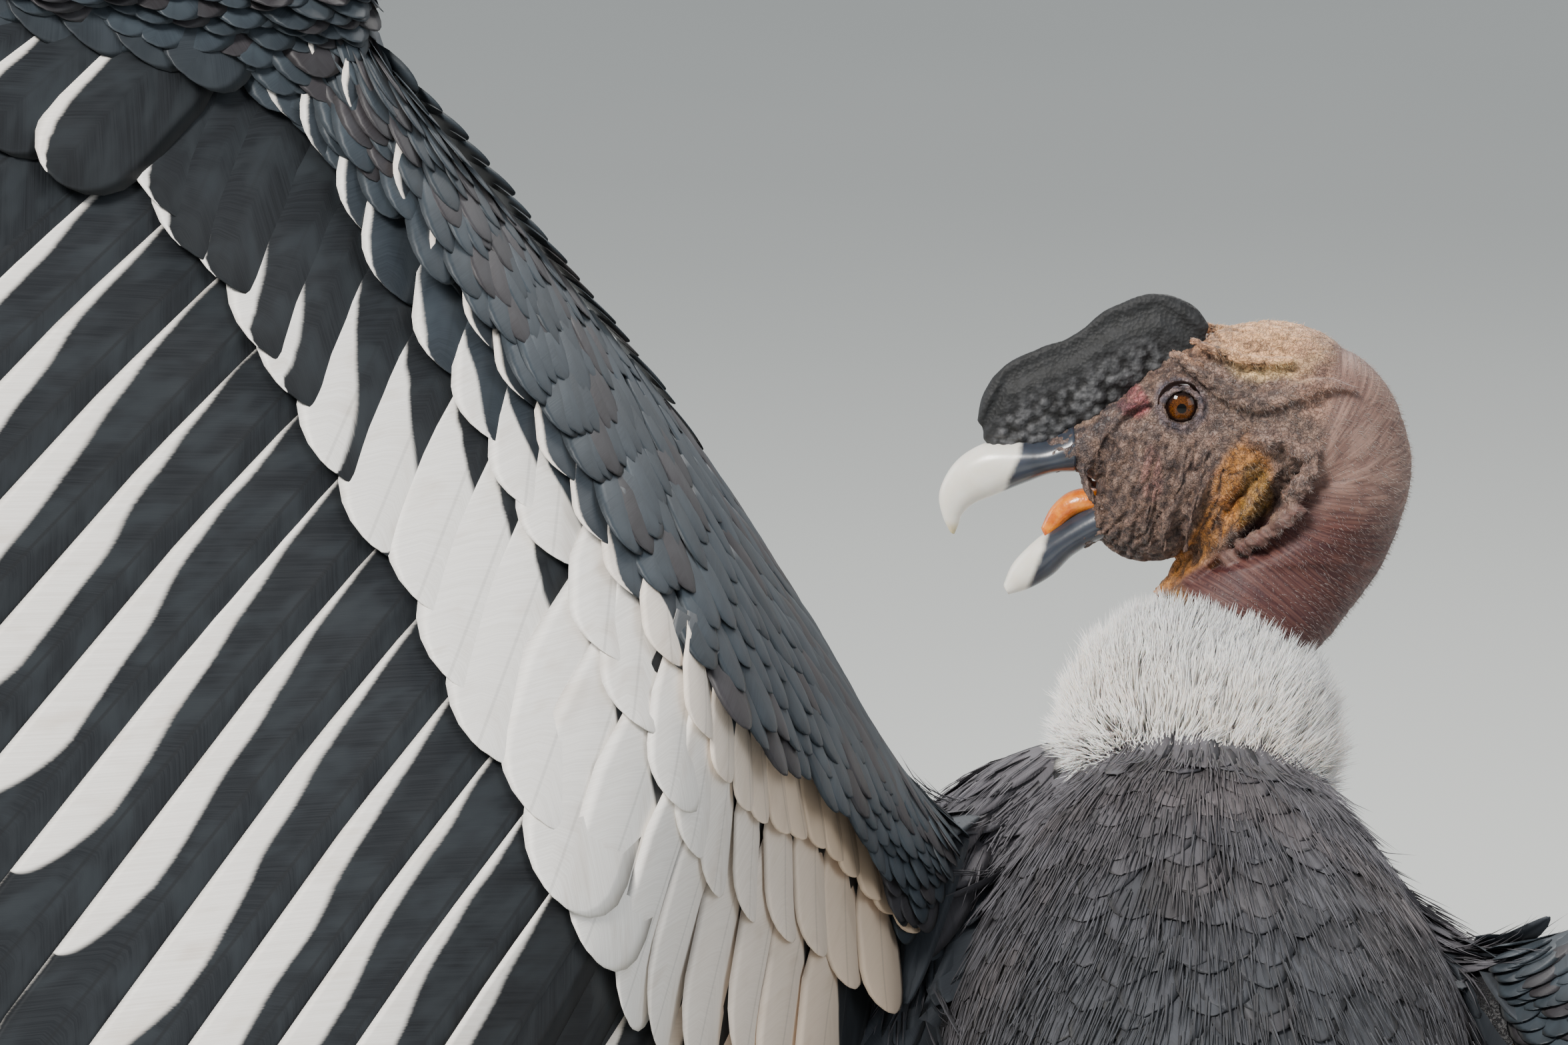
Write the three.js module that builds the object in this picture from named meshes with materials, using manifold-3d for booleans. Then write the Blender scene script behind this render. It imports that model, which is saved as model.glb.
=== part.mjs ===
// Male Andean condor, a still life-size model. Millimetres, +Z up, the trunk faces +Y.
// The bird stands on flat soles at Z = 0, its left wing raised, its right wing lower,
// its head turned to its own left (-X) with the bill open.
import * as THREE from 'three';
import { mergeVertices } from 'three/addons/utils/BufferGeometryUtils.js';
import Module from 'manifold-3d';

const wasm = await Module();
wasm.setup();

// Driving dimensions
const GAP = 0.3;                    // between pieces that touch
const TERTIALS = 5;                 // flight feathers on each upper arm
const SECONDARIES = 12;             // on each forearm
const PRIMARIES = 10;               // on each hand
const TERTIAL_LENGTH = 300;
const SECONDARY_LENGTH = 425;
const PRIMARY_LENGTH = 600;
const FLIGHT_WIDTH = 72;
const GREATER_COVERT = { length: 136, width: 52 };
const MEDIAN_COVERT = { length: 72, width: 50 };
const ALULA = { count: 3, length: 120, width: 34 };
const TAIL = { feathers: 12, coverts: 6, underCoverts: 4, length: 345, width: 54, spread: 30 };
const VANE_THICKNESS = 0.9;
const SHINGLE = 5.5;                // degrees each blade is turned to lie over the next one out
const HAND_LENGTH = 235;
const RUFF_CORE = 42;
const TARSUS_RADIUS = 10.5;
const TOE_RADIUS = 8.5;
const EYE_RADIUS = 9.5;
const EYE_SPREAD = 21;

// Landmarks of the skeleton
const EYE_MID = [-6.2, 165, 823.1];       // middle of the head, level with the eyes
const HIP_SPREAD = 62;                    // from the middle plane to each leg
const LEFT_ARM = {
  side: -1,
  shoulder: [-104, 105, 640],
  elbow: [-203, -110, 776],
  wrist: [-368, 5, 1027],
  hand: [-0.87, -0.42, 0.25],
  innerTrail: [-0.2, -0.84, -0.5],
  trail: [-0.387, -0.823, -0.409],
  outerTrail: [-0.475, -0.807, -0.343],
};
const RIGHT_ARM = {
  side: 1,
  shoulder: [104, 100, 590],
  elbow: [286, -98, 632],
  wrist: [550, 52, 738],
  hand: [0.84, -0.52, 0.16],
  innerTrail: [0.1, -0.9, -0.43],
  trail: [0.28, -0.87, -0.4],
  outerTrail: [0.42, -0.84, -0.34],
};

const FINISH = {
  plumage: { color: 0x1b1b1d, roughness: 0.7, metalness: 0 },
  white: { color: 0xe9e6df, roughness: 0.9, metalness: 0 },
  skin: { color: 0x8a4a44, roughness: 0.6, metalness: 0 },
  face: { color: 0x6f5c50, roughness: 0.6, metalness: 0 },
  comb: { color: 0x55504f, roughness: 0.55, metalness: 0 },
  horn: { color: 0xe8e0cf, roughness: 0.35, metalness: 0 },
  tongue: { color: 0xd8794a, roughness: 0.4, metalness: 0 },
  eye: { color: 0x6b3d22, roughness: 0.08, metalness: 0 },
  scale: { color: 0x6d6a68, roughness: 0.6, metalness: 0 },
  claw: { color: 0x2a2624, roughness: 0.35, metalness: 0 },
};

// Shape tools
const vec = (a) => new THREE.Vector3(...a);
const between = (a, b, t) => vec(a).lerp(vec(b), t).toArray();
const shifted = (a, direction, distance) => vec(a).addScaledVector(vec(direction), distance).toArray();
const curveThrough = (points) => new THREE.CatmullRomCurve3(points.map(vec));

function solidOf(geometry) {
  const bare = geometry.clone();
  bare.deleteAttribute('normal');
  bare.deleteAttribute('uv');
  const merged = mergeVertices(bare, 1e-4);
  return new wasm.Manifold(new wasm.Mesh({
    numProp: 3,
    vertProperties: new Float32Array(merged.attributes.position.array),
    triVerts: new Uint32Array(merged.index.array),
  }));
}

function geometryOf(solid) {
  const mesh = solid.getMesh();
  const geometry = new THREE.BufferGeometry();
  geometry.setAttribute('position', new THREE.BufferAttribute(new Float32Array(mesh.vertProperties), 3));
  geometry.setIndex(new THREE.BufferAttribute(new Uint32Array(mesh.triVerts), 1));
  geometry.computeVertexNormals();
  return geometry;
}

const largest = (solid) => solid.decompose().reduce((a, b) => (b.volume() > a.volume() ? b : a));
const joined = (solids) => solids.reduce((a, b) => a.add(b));
const side = (solid, normal, point, clearance = GAP / 2) => {
  const n = vec(normal).normalize();
  return solid.trimByPlane(n.toArray(), n.dot(vec(point)) + clearance);
};

// A cylinder whose rings follow stations. Each station has two opposite edge points of its
// section and the half-thickness across them; grow makes the whole form that much fatter.
function loft(stations, sides, rows, grow = 0) {
  const first = curveThrough(stations.map((s) => s.a));
  const second = curveThrough(stations.map((s) => s.b));
  const halves = curveThrough(stations.map((s) => [s.half, 0, 0]));
  const geometry = new THREE.CylinderGeometry(1, 1, 1, sides, rows);
  const spots = geometry.attributes.position;
  const p = new THREE.Vector3();
  for (let i = 0; i < spots.count; i++) {
    const t = Math.min(1, Math.max(0, 0.5 - spots.getY(i)));
    const a = first.getPoint(t);
    const b = second.getPoint(t);
    const along = first.getTangent(t).add(second.getTangent(t));
    const middle = a.clone().add(b).multiplyScalar(0.5);
    const spread = a.clone().sub(b).multiplyScalar(0.5);
    const across = spread.clone().cross(along).normalize();
    const wide = halves.getPoint(t).x + grow;
    spread.setLength(spread.length() + grow);
    p.copy(middle).addScaledVector(across, wide * spots.getX(i)).addScaledVector(spread, spots.getZ(i));
    spots.setXYZ(i, p.x, p.y, p.z);
  }
  return solidOf(geometry);
}

// A limb of oval sections along a line of points; up is the direction of the section's depth.
function limb(points, up, sides, rows, grow = 0) {
  const stations = points.map(([x, y, z, deep, wide]) => ({
    a: shifted([x, y, z], up, deep),
    b: shifted([x, y, z], up, -deep),
    half: wide,
  }));
  return loft(stations, sides, rows, grow);
}

function ball(centre, radii, widthSegments, heightSegments) {
  const geometry = new THREE.SphereGeometry(1, widthSegments, heightSegments);
  geometry.scale(...radii);
  geometry.translate(...centre);
  return solidOf(geometry);
}

// A feather's blade or a lock of down: a plane given the outline's widths from root to tip,
// bent along its middle line, and made a thin closed body with both faces split alike.
const FLIGHT_OUTLINE = [[0, 0.2], [0.3, 0.95], [0.9, 0.9], [1, 0.32]];
const COVERT_OUTLINE = [[0, 0.45], [0.72, 1], [1, 0.42]];
const LOCK_OUTLINE = [[0, 0.8], [0.4, 1], [0.78, 0.78], [1, 0.15]];

function vane(blade) {
  const { root, along, face, length, width, outline } = blade;
  const { turn = 0, droop = 0, thickness = VANE_THICKNESS } = blade;
  const rows = outline.length - 1;
  const plane = new THREE.PlaneGeometry(1, 1, 1, rows);
  const count = plane.attributes.position.count;
  const shaft = vec(along).normalize();
  const across = shaft.clone().cross(vec(face)).normalize().applyAxisAngle(shaft, turn);
  const lift = across.clone().cross(shaft);
  const spots = new Float32Array(count * 6);
  for (let i = 0; i < count; i++) {
    const [v, share] = outline[rows - Math.floor(i / 2)];
    const middle = vec(root)
      .addScaledVector(shaft, length * v)
      .addScaledVector(lift, -droop * v * v)
      .addScaledVector(across, plane.attributes.position.getX(i) * width * share);
    const half = (thickness / 2) * (1 - 0.35 * v);
    middle.clone().addScaledVector(lift, half).toArray(spots, i * 3);
    middle.clone().addScaledVector(lift, -half).toArray(spots, (count + i) * 3);
  }
  const top = Array.from(plane.index.array);
  const bottom = top.map((i) => i + count).reverse();
  const rightEdge = [];
  const leftEdge = [];
  for (let row = rows; row >= 0; row--) rightEdge.push(2 * row + 1);
  for (let row = 0; row <= rows; row++) leftEdge.push(2 * row);
  const rim = [...rightEdge, ...leftEdge];
  const walls = rim.flatMap((a, i) => {
    const b = rim[(i + 1) % rim.length];
    return [b, a, a + count, b, a + count, b + count];
  });
  const geometry = new THREE.BufferGeometry();
  geometry.setAttribute('position', new THREE.BufferAttribute(spots, 3));
  geometry.setIndex([...top, ...bottom, ...walls]);
  return solidOf(geometry);
}

const bird = new THREE.Group();
const sideName = { '-1': 'left', 1: 'right' };
function addPiece(name, solid, finish) {
  const mesh = new THREE.Mesh(geometryOf(largest(solid)), new THREE.MeshStandardMaterial(FINISH[finish]));
  mesh.name = name;
  bird.add(mesh);
}

// Trunk
const TRUNK = [
  [0, -250, 392, 20, 26],
  [0, -215, 415, 38, 52],
  [0, -150, 452, 74, 88],
  [0, -60, 510, 106, 114],
  [0, 30, 570, 116, 116],
  [0, 95, 620, 98, 92],
  [4, 132, 656, 62, 62],
  [10, 148, 688, 42, 42],
  [15, 152, 720, 32, 30],
];
const TRUNK_UP = [0, -0.55, 0.83];
const trunkForm = (grow) => limb(TRUNK, TRUNK_UP, 20, 14, grow);

// Neck and head, in the head's own plane: forward is -X. Each row gives the outer (nape) edge
// and the inner (throat) edge as forward and up from the eye, then the sideways shift and the
// half-width.
const NECK = [
  [-47, -150, 12, -140, -14, 26],
  [-49, -118, 6, -104, -10, 26],
  [-69, -93, 3, -81, -4, 31],
  [-86, -70, -5, -74, 1, 34],
  [-95, -47, -19, -64, 4, 35],
  [-98, -27, -27, -47, 4, 34],
  [-94, -7, -32, -35, 3, 32],
  [-86, 9, -29, -32, 1, 31],
  [-73, 21, -24, -35, 0, 31],
  [-58, 25, -18, -39, 0, 27],
];
const HEAD = [
  [-80, 11, -30, -27, 0, 25],
  [-62, 28.5, -17.5, -42.5, 0, 31.2],
  [-42, 35, -5, -62, 0, 31],
  [-23, 33, 12, -67, 0, 30],
  [-6, 27, 26, -63, 0, 28],
  [10, 17, 32, -56, 0, 23],
  [24, 4.5, 35, -45, 0, 17],
];
const CERE = [
  [4, 16, 4, -34, 0, 19],
  [21, 6, 20, -36, 0, 16],
  [32, -1, 32, -33, 0, 14],
  [43, -8, 42, -28.5, 0, 12.5],
  [55, -14.5, 51, -29, 0, 11.5],
];
const UPPER_BILL = [
  [43, -8, 42, -28.5, 0, 12.5],
  [55, -14.5, 51, -29, 0, 11.5],
  [67, -15.5, 62, -33, 0, 10.5],
  [80, -17, 75, -38.5, 0, 9],
  [92, -25, 85, -43, 0, 7],
  [98.5, -38, 89, -47.5, 0, 5],
  [97, -48, 90.5, -52, 0, 3.5],
  [94, -54.5, 92, -55.5, 0, 1.5],
];
const JAW = [
  [4, -36, 6, -62, 0, 18],
  [20, -37, 18, -60, 0, 15],
  [34, -41, 29, -57, 0, 11.5],
  [44, -48, 38, -62, 0, 10],
];
const LOWER_BILL = [
  [26, -38, 22, -58, 0, 13],
  [34, -41, 29, -57, 0, 11.5],
  [50, -52, 42, -64, 0, 9.5],
  [60, -60, 51, -73, 0, 8],
  [68, -69, 61, -79, 0, 6],
  [71.5, -77.5, 69, -81.5, 0, 3],
];
const headPoint = (forward, up, sideways = 0) => [
  EYE_MID[0] - forward,
  EYE_MID[1] + sideways,
  EYE_MID[2] + up,
];
const profile = (rows) => rows.map(([fa, ua, fb, ub, sideways, half]) => ({
  a: headPoint(fa, ua, sideways),
  b: headPoint(fb, ub, sideways),
  half,
}));

// Where the pieces part
const RUFF_AXIS = [0.28, 0.25, 0.93];
const RUFF_FOOT = [2, 138, 664];
const RUFF_TOP = [16, 152, 712];
const HEAD_CUT = headPoint(-50, -6);
const HEAD_CUT_NORMAL = [-0.75, 0, 0.66];
const CERE_CUT = headPoint(50, -21);
const JAW_CUT = headPoint(31.5, -49);
const JAW_CUT_NORMAL = [-0.92, 0, -0.39];

const neckForm = (grow) => loft(profile(NECK), 15, 12, grow);
const skullForm = (grow) => joined([
  loft(profile(HEAD), 15, 8, grow),
  loft(profile(CERE), 12, 4, grow),
  loft(profile(JAW), 10, 3, grow),
]);

function addTrunk() {
  const trunk = side(trunkForm(0), RUFF_AXIS.map((v) => -v), RUFF_FOOT);
  addPiece('torso', trunk, 'plumage');
}

// The ruff: a low core round the foot of the neck, covered by tiers of flat down locks that lie
// over each other. rise is the angle of a tier's locks above the collar's plane.
const RUFF_TIERS = [
  { height: 0.85, start: 33, count: 7, rise: 66, length: 27, droop: 5 },
  { height: 0.96, start: 29, count: 8, rise: 6, length: 37, droop: 22 },
  { height: 0.62, start: 29, count: 8, rise: -12, length: 38, droop: 18 },
  { height: 0.25, start: 29, count: 8, rise: -8, length: 38, droop: 8 },
];
const LOCK = { width: 43, thickness: 1.5, turn: 16 };

function addRuff() {
  const up = vec(RUFF_AXIS).normalize();
  const core = side(side(limb([
    [...shifted(RUFF_FOOT, RUFF_AXIS, -16), RUFF_CORE, RUFF_CORE],
    [...between(RUFF_FOOT, RUFF_TOP, 0.3), RUFF_CORE, RUFF_CORE],
    [...between(RUFF_FOOT, RUFF_TOP, 0.8), RUFF_CORE - 4, RUFF_CORE - 4],
    [...shifted(RUFF_TOP, RUFF_AXIS, 10), RUFF_CORE - 12, RUFF_CORE - 12],
  ], [0, -1, 0.3], 12, 2), RUFF_AXIS, RUFF_FOOT), RUFF_AXIS.map((v) => -v), RUFF_TOP);
  const sideways = up.clone().cross(vec([0, 1, 0])).normalize();
  const locks = RUFF_TIERS.flatMap(({ height, start, count, rise, length, droop }, tier) => (
    Array.from({ length: count }, (_, i) => {
      const round = ((i + (tier % 2) * 0.5) / count) * 2 * Math.PI;
      const outward = sideways.clone().applyAxisAngle(up, round);
      const steep = THREE.MathUtils.degToRad(rise + 6 * Math.sin(5 * round + tier));
      const along = outward.clone().multiplyScalar(Math.cos(steep)).addScaledVector(up, Math.sin(steep));
      const face = up.clone().multiplyScalar(Math.cos(steep)).addScaledVector(outward, -Math.sin(steep));
      return vane({
        root: shifted(between(RUFF_FOOT, RUFF_TOP, height), outward.toArray(), start),
        along: along.toArray(),
        face: face.toArray(),
        length: length * (1 + 0.07 * Math.sin(3 * i + tier)),
        width: LOCK.width,
        outline: LOCK_OUTLINE,
        turn: THREE.MathUtils.degToRad(LOCK.turn),
        droop,
        thickness: LOCK.thickness,
      });
    })));
  const below = side(trunkForm(GAP), RUFF_AXIS.map((v) => -v), RUFF_FOOT, -GAP / 2);
  const clear = below.add(neckForm(GAP));
  addPiece('ruff', joined(locks).subtract(clear).add(core), 'white');
}

// Skin forms that stand out of the head: forward, up and sideways of the eye, then half-height
// and half-width.
const BROW_FOLD = [
  [2, 28, 20, 3, 3.5], [-15, 17, 28, 4.5, 4.5], [-36, 10, 29.5, 4.5, 4.5], [-60, 15, 25, 3.5, 3.5],
];
const CHEEK_FOLDS = [
  [[14, -12, 23, 2, 3], [18, -26, 23.5, 3, 3.5], [19, -42, 21.5, 3, 3.5], [16, -53, 18, 2, 3]],
  [[-4, -16, 28, 2, 3], [-1, -31, 29.5, 3, 3.5], [2, -46, 28, 3, 3.5], [1, -58, 23, 2, 3]],
];
const GAPE_LIP = [[38, -26, 12.5, 2, 2.5], [37, -36, 13.5, 2.5, 2.5], [32, -43, 13, 2, 2.5]];
const WATTLE = [[-16, -32, 0, 9, 5], [-13, -50, 0, 10, 5.5], [-7, -66, 0, 9, 4.5], [4, -78, 0, 4, 3]];
const CARUNCLES = [
  [-36, -8, 30], [-46, -12, 30], [-51, -22, 32], [-45, -33, 32], [-39, -44, 30], [-30, -53, 24],
];
const skinFold = (points, way, sides, rows) => limb(points.map(([forward, up, sideways, deep, wide]) => (
  [...headPoint(forward, up, sideways * way), deep, wide])), [0, 0, 1], sides, rows);
const uprightFold = (points, way, sides, rows) => limb(points.map(([forward, up, sideways, deep, wide]) => (
  [...headPoint(forward, up, sideways * way), deep, wide])), [1, 0, 0], sides, rows);

function addHeadAndNeck() {
  const lidGeometry = new THREE.TorusGeometry(8.6, 2.5, 4, 10);
  lidGeometry.rotateX(Math.PI / 2);
  let flesh = joined([skullForm(0), neckForm(0), uprightFold(WATTLE, 1, 8, 5)]);
  for (const way of [-1, 1]) {
    const eye = headPoint(0, 5, way * EYE_SPREAD);
    const socket = EYE_RADIUS + GAP;
    flesh = joined([
      flesh,
      solidOf(lidGeometry.clone().translate(...headPoint(0, 5, way * (EYE_SPREAD + 6.5)))),
      skinFold(BROW_FOLD, way, 5, 6),
      ...CHEEK_FOLDS.map((fold) => uprightFold(fold, way, 5, 4)),
      uprightFold(GAPE_LIP, way, 5, 3),
      ...CARUNCLES.map(([forward, up, sideways]) => (
        ball(headPoint(forward, up, sideways * way), [5.4, 5, 5], 5, 4))),
    ]).subtract(ball(eye, [socket, socket, socket], 10, 7));
    addPiece(`${sideName[way]}_eye`, ball(eye, [EYE_RADIUS, EYE_RADIUS, EYE_RADIUS], 10, 7), 'eye');
  }
  const nostril = limb([
    [...headPoint(37, -3), 1.3, 24], [...headPoint(41, -4), 2.1, 24], [...headPoint(45, -6), 2.1, 24],
    [...headPoint(49, -8.5), 1.2, 24],
  ], [0.3, 0, 1], 8, 4);
  const back = HEAD_CUT_NORMAL.map((v) => -v);
  const neck = side(side(flesh, RUFF_AXIS, RUFF_TOP), back, HEAD_CUT);
  addPiece('neck', neck, 'skin');
  const head = side(side(flesh.subtract(nostril), HEAD_CUT_NORMAL, HEAD_CUT), [1, 0, 0], CERE_CUT);
  addPiece('head', head, 'face');
  addPiece('upper_bill', side(loft(profile(UPPER_BILL), 12, 10), [-1, 0, 0], CERE_CUT), 'horn');
  const lower = side(loft(profile(LOWER_BILL), 10, 7), JAW_CUT_NORMAL, JAW_CUT);
  addPiece('lower_bill', lower.subtract(skullForm(GAP)), 'horn');
}

function addComb() {
  const comb = loft(profile([
    [83, -7, 82, -12, 0, 2.5],
    [80, 6, 78, -18, 0, 4.5],
    [71, 17, 70, -22, 0, 5.5],
    [57, 24, 56, -22, 0, 6],
    [44, 29, 43, -18, 0, 6],
    [28, 41, 27, -8, 0, 6],
    [8, 47, 7, 8, 0, 5.5],
    [-7, 41, -7, 18, 0, 5],
    [-11, 34, -11, 28, 0, 3],
  ]), 12, 11);
  const seat = skullForm(GAP).add(loft(profile(UPPER_BILL), 12, 10, GAP));
  addPiece('comb', comb.subtract(seat), 'comb');
}

function addTongue() {
  const tongue = loft(profile([
    [30, -38, 30, -46, 0, 5],
    [37, -37, 36, -46, 0, 5],
    [45, -39, 42, -47.5, 0, 5],
    [52, -45, 48, -52.5, 0, 4],
    [56, -53.5, 53.5, -57, 0, 2.5],
  ]), 8, 6);
  const mouth = skullForm(GAP).add(loft(profile(LOWER_BILL), 10, 7, GAP));
  addPiece('tongue', tongue.subtract(mouth), 'tongue');
}

// Wings
// Dorsal side of the wing's plane between the elbow and the wrist
function crestOf(arm) {
  const crest = vec(arm.trail).cross(vec(arm.wrist).sub(vec(arm.elbow))).normalize();
  return crest.z < 0 ? crest.negate() : crest;
}

// The arm's flesh: sections from the leading edge of the skin fold to the line of the bones.
function armStations(arm) {
  const chord = vec(arm.shoulder).distanceTo(vec(arm.wrist));
  const crest = crestOf(arm);
  const lead = (t, out) => {
    const point = vec(between(arm.shoulder, arm.wrist, t));
    const away = point.clone().sub(vec(arm.elbow)).normalize();
    return point.addScaledVector(away, out * chord).addScaledVector(crest, 0.7 * out * chord).toArray();
  };
  const palm = shifted(arm.wrist, arm.hand, HAND_LENGTH * 0.55);
  const fingertip = shifted(arm.wrist, arm.hand, HAND_LENGTH);
  const { shoulder, elbow, wrist, trail, outerTrail } = arm;
  return [
    { a: shifted(shoulder, [arm.side * -0.5, 0.6, 0.4], 18), b: shifted(shoulder, trail, 70), half: 38 },
    { a: lead(0.14, 0.02), b: shifted(between(shoulder, elbow, 0.3), trail, 30), half: 32 },
    { a: lead(0.3, 0.06), b: shifted(between(shoulder, elbow, 0.7), trail, 18), half: 22 },
    { a: lead(0.47, 0.07), b: shifted(elbow, trail, 14), half: 18 },
    { a: lead(0.68, 0.06), b: shifted(between(elbow, wrist, 0.4), trail, 8), half: 15 },
    { a: lead(0.88, 0.05), b: shifted(between(elbow, wrist, 0.8), trail, 6), half: 14 },
    { a: shifted(lead(1, 0), outerTrail, -34), b: shifted(wrist, outerTrail, 12), half: 13 },
    { a: shifted(palm, outerTrail, -20), b: shifted(palm, outerTrail, 18), half: 9 },
    { a: shifted(fingertip, outerTrail, -8), b: shifted(fingertip, outerTrail, 8), half: 5 },
  ];
}

// The rows of quills run from the shoulder out to the fingertip: root, direction and length.
const QUILL_STOPS = { upper_wing: [0, 2], forewing: [2, 4], hand: [4, 7] };
const FLIGHT_COUNT = { upper_wing: TERTIALS, forewing: SECONDARIES, hand: PRIMARIES };
function quillRow(arm) {
  const { shoulder, elbow, wrist, hand, innerTrail, trail, outerTrail } = arm;
  const fold = (share) => vec(outerTrail).lerp(vec(hand), share).normalize().toArray();
  const stops = [
    [between(shoulder, elbow, 0.18), innerTrail, TERTIAL_LENGTH],
    [between(shoulder, elbow, 0.6), between(innerTrail, trail, 0.45), TERTIAL_LENGTH * 1.2],
    [elbow, trail, SECONDARY_LENGTH],
    [between(elbow, wrist, 0.5), between(trail, outerTrail, 0.4), SECONDARY_LENGTH],
    [wrist, outerTrail, SECONDARY_LENGTH],
    [shifted(wrist, hand, HAND_LENGTH * 0.3), fold(0.33), PRIMARY_LENGTH * 0.86],
    [shifted(wrist, hand, HAND_LENGTH * 0.62), fold(0.66), PRIMARY_LENGTH],
    [shifted(wrist, hand, HAND_LENGTH * 0.9), fold(0.97), PRIMARY_LENGTH * 0.9],
  ];
  const last = stops.length - 1;
  const roots = curveThrough(stops.map((s) => s[0]));
  const ways = curveThrough(stops.map((s) => s[1]));
  const lengths = curveThrough(stops.map((s) => [s[2], 0, 0]));
  const middleAt = (t) => roots.getPoint(t).addScaledVector(ways.getPoint(t).normalize(), 150);
  return (stop) => {
    const t = Math.min(1, Math.max(0, stop / last));
    const along = ways.getPoint(t).normalize();
    const out = middleAt(Math.min(1, t + 0.02)).sub(middleAt(Math.max(0, t - 0.02))).normalize();
    const face = along.clone().cross(out).normalize();
    if (face.z < 0) face.negate();
    return { root: roots.getPoint(t), along, out, face, length: lengths.getPoint(t).x };
  };
}

// One blade of a row. back shifts its root to the leading edge, lift raises it from the plane of
// the flight feathers, rise is how much higher its tip lies, lean turns it towards the body, and
// grow makes it that much larger all round.
function rowBlade(quill, arm, blade) {
  const { length, width, outline, back = 14, lift = 0, rise = 0, lean = 0, droop = 0, grow = 0 } = blade;
  const { root, along, out, face } = quill;
  const way = along.clone().addScaledVector(out, -lean).normalize().addScaledVector(face, rise / length);
  return vane({
    root: root.clone().addScaledVector(along, -back).addScaledVector(face, lift).toArray(),
    along: way.toArray(),
    face: face.toArray(),
    length: length + grow,
    width: width + 2 * grow,
    thickness: VANE_THICKNESS + 2 * grow,
    outline,
    turn: THREE.MathUtils.degToRad(SHINGLE) * arm.side,
    droop,
  });
}

function wingBlades(arm, part, grow = 0) {
  const row = quillRow(arm);
  const [from, to] = QUILL_STOPS[part];
  const feathers = FLIGHT_COUNT[part];
  return Array.from({ length: feathers }, (_, i) => {
    const share = (i + 0.5) / feathers;
    const quill = row(from + (to - from) * share);
    const onHand = part === 'hand';
    const sink = onHand ? 3 - 7 * share : 0;
    const blades = [rowBlade(quill, arm, {
      length: quill.length,
      width: FLIGHT_WIDTH * (onHand ? 0.92 : 1),
      outline: FLIGHT_OUTLINE,
      lift: sink,
      droop: quill.length * 0.05,
      grow,
    })];
    const covertLength = GREATER_COVERT.length * (onHand ? 1.1 - 0.35 * share : 1);
    if (!onHand || i % 2 === 0) {
      blades.push(rowBlade(quill, arm, {
        length: covertLength,
        width: GREATER_COVERT.width * (onHand ? 1.2 : 1),
        outline: COVERT_OUTLINE,
        back: 12,
        lift: sink + 8,
        rise: 2,
        lean: 0.16,
        grow,
      }));
    }
    if (!onHand && i % 2 === 1) {
      blades.push(rowBlade(quill, arm, {
        ...MEDIAN_COVERT, outline: COVERT_OUTLINE, back: 28, lift: 14, rise: 4, lean: 0.22, grow,
      }));
    }
    return blades;
  }).flat();
}

function alulaBlades(arm) {
  const row = quillRow(arm);
  return Array.from({ length: ALULA.count }, (_, i) => {
    const quill = row(4.35 + 0.25 * i);
    return rowBlade({ ...quill, along: vec(arm.hand).normalize() }, arm, {
      length: ALULA.length,
      width: ALULA.width,
      outline: COVERT_OUTLINE,
      back: 10,
      lift: 7 + 2 * i,
      rise: 14,
    });
  });
}

function addWing(arm) {
  const name = sideName[arm.side];
  const inner = vec(arm.wrist).sub(vec(arm.shoulder)).normalize().toArray();
  const wristWay = vec(inner).add(vec(arm.hand)).normalize().toArray();
  const flesh = loft(armStations(arm), 9, 13);
  const thickFlesh = loft(armStations(arm), 9, 13, GAP);
  const body = trunkForm(GAP);
  const back = (n) => n.map((v) => -v);
  const zones = {
    upper_wing: [[back(inner), arm.elbow]],
    forewing: [[inner, arm.elbow], [back(wristWay), arm.wrist]],
    hand: [[wristWay, arm.wrist]],
  };
  const inward = { forewing: 'upper_wing', hand: 'forewing' };
  for (const [part, cuts] of Object.entries(zones)) {
    const core = cuts.reduce((solid, [normal, point]) => side(solid, normal, point), flesh);
    const others = joined(cuts.map(([normal, point]) => side(thickFlesh, back(normal), point, -GAP / 2)));
    const blades = [...wingBlades(arm, part), ...(part === 'hand' ? alulaBlades(arm) : [])];
    const nextIn = part in inward ? wingBlades(arm, inward[part], GAP) : [];
    const taken = joined([others, body, ...nextIn]);
    addPiece(`${name}_${part}`, joined(blades).subtract(taken).add(core.subtract(body)), 'plumage');
  }
}

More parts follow.
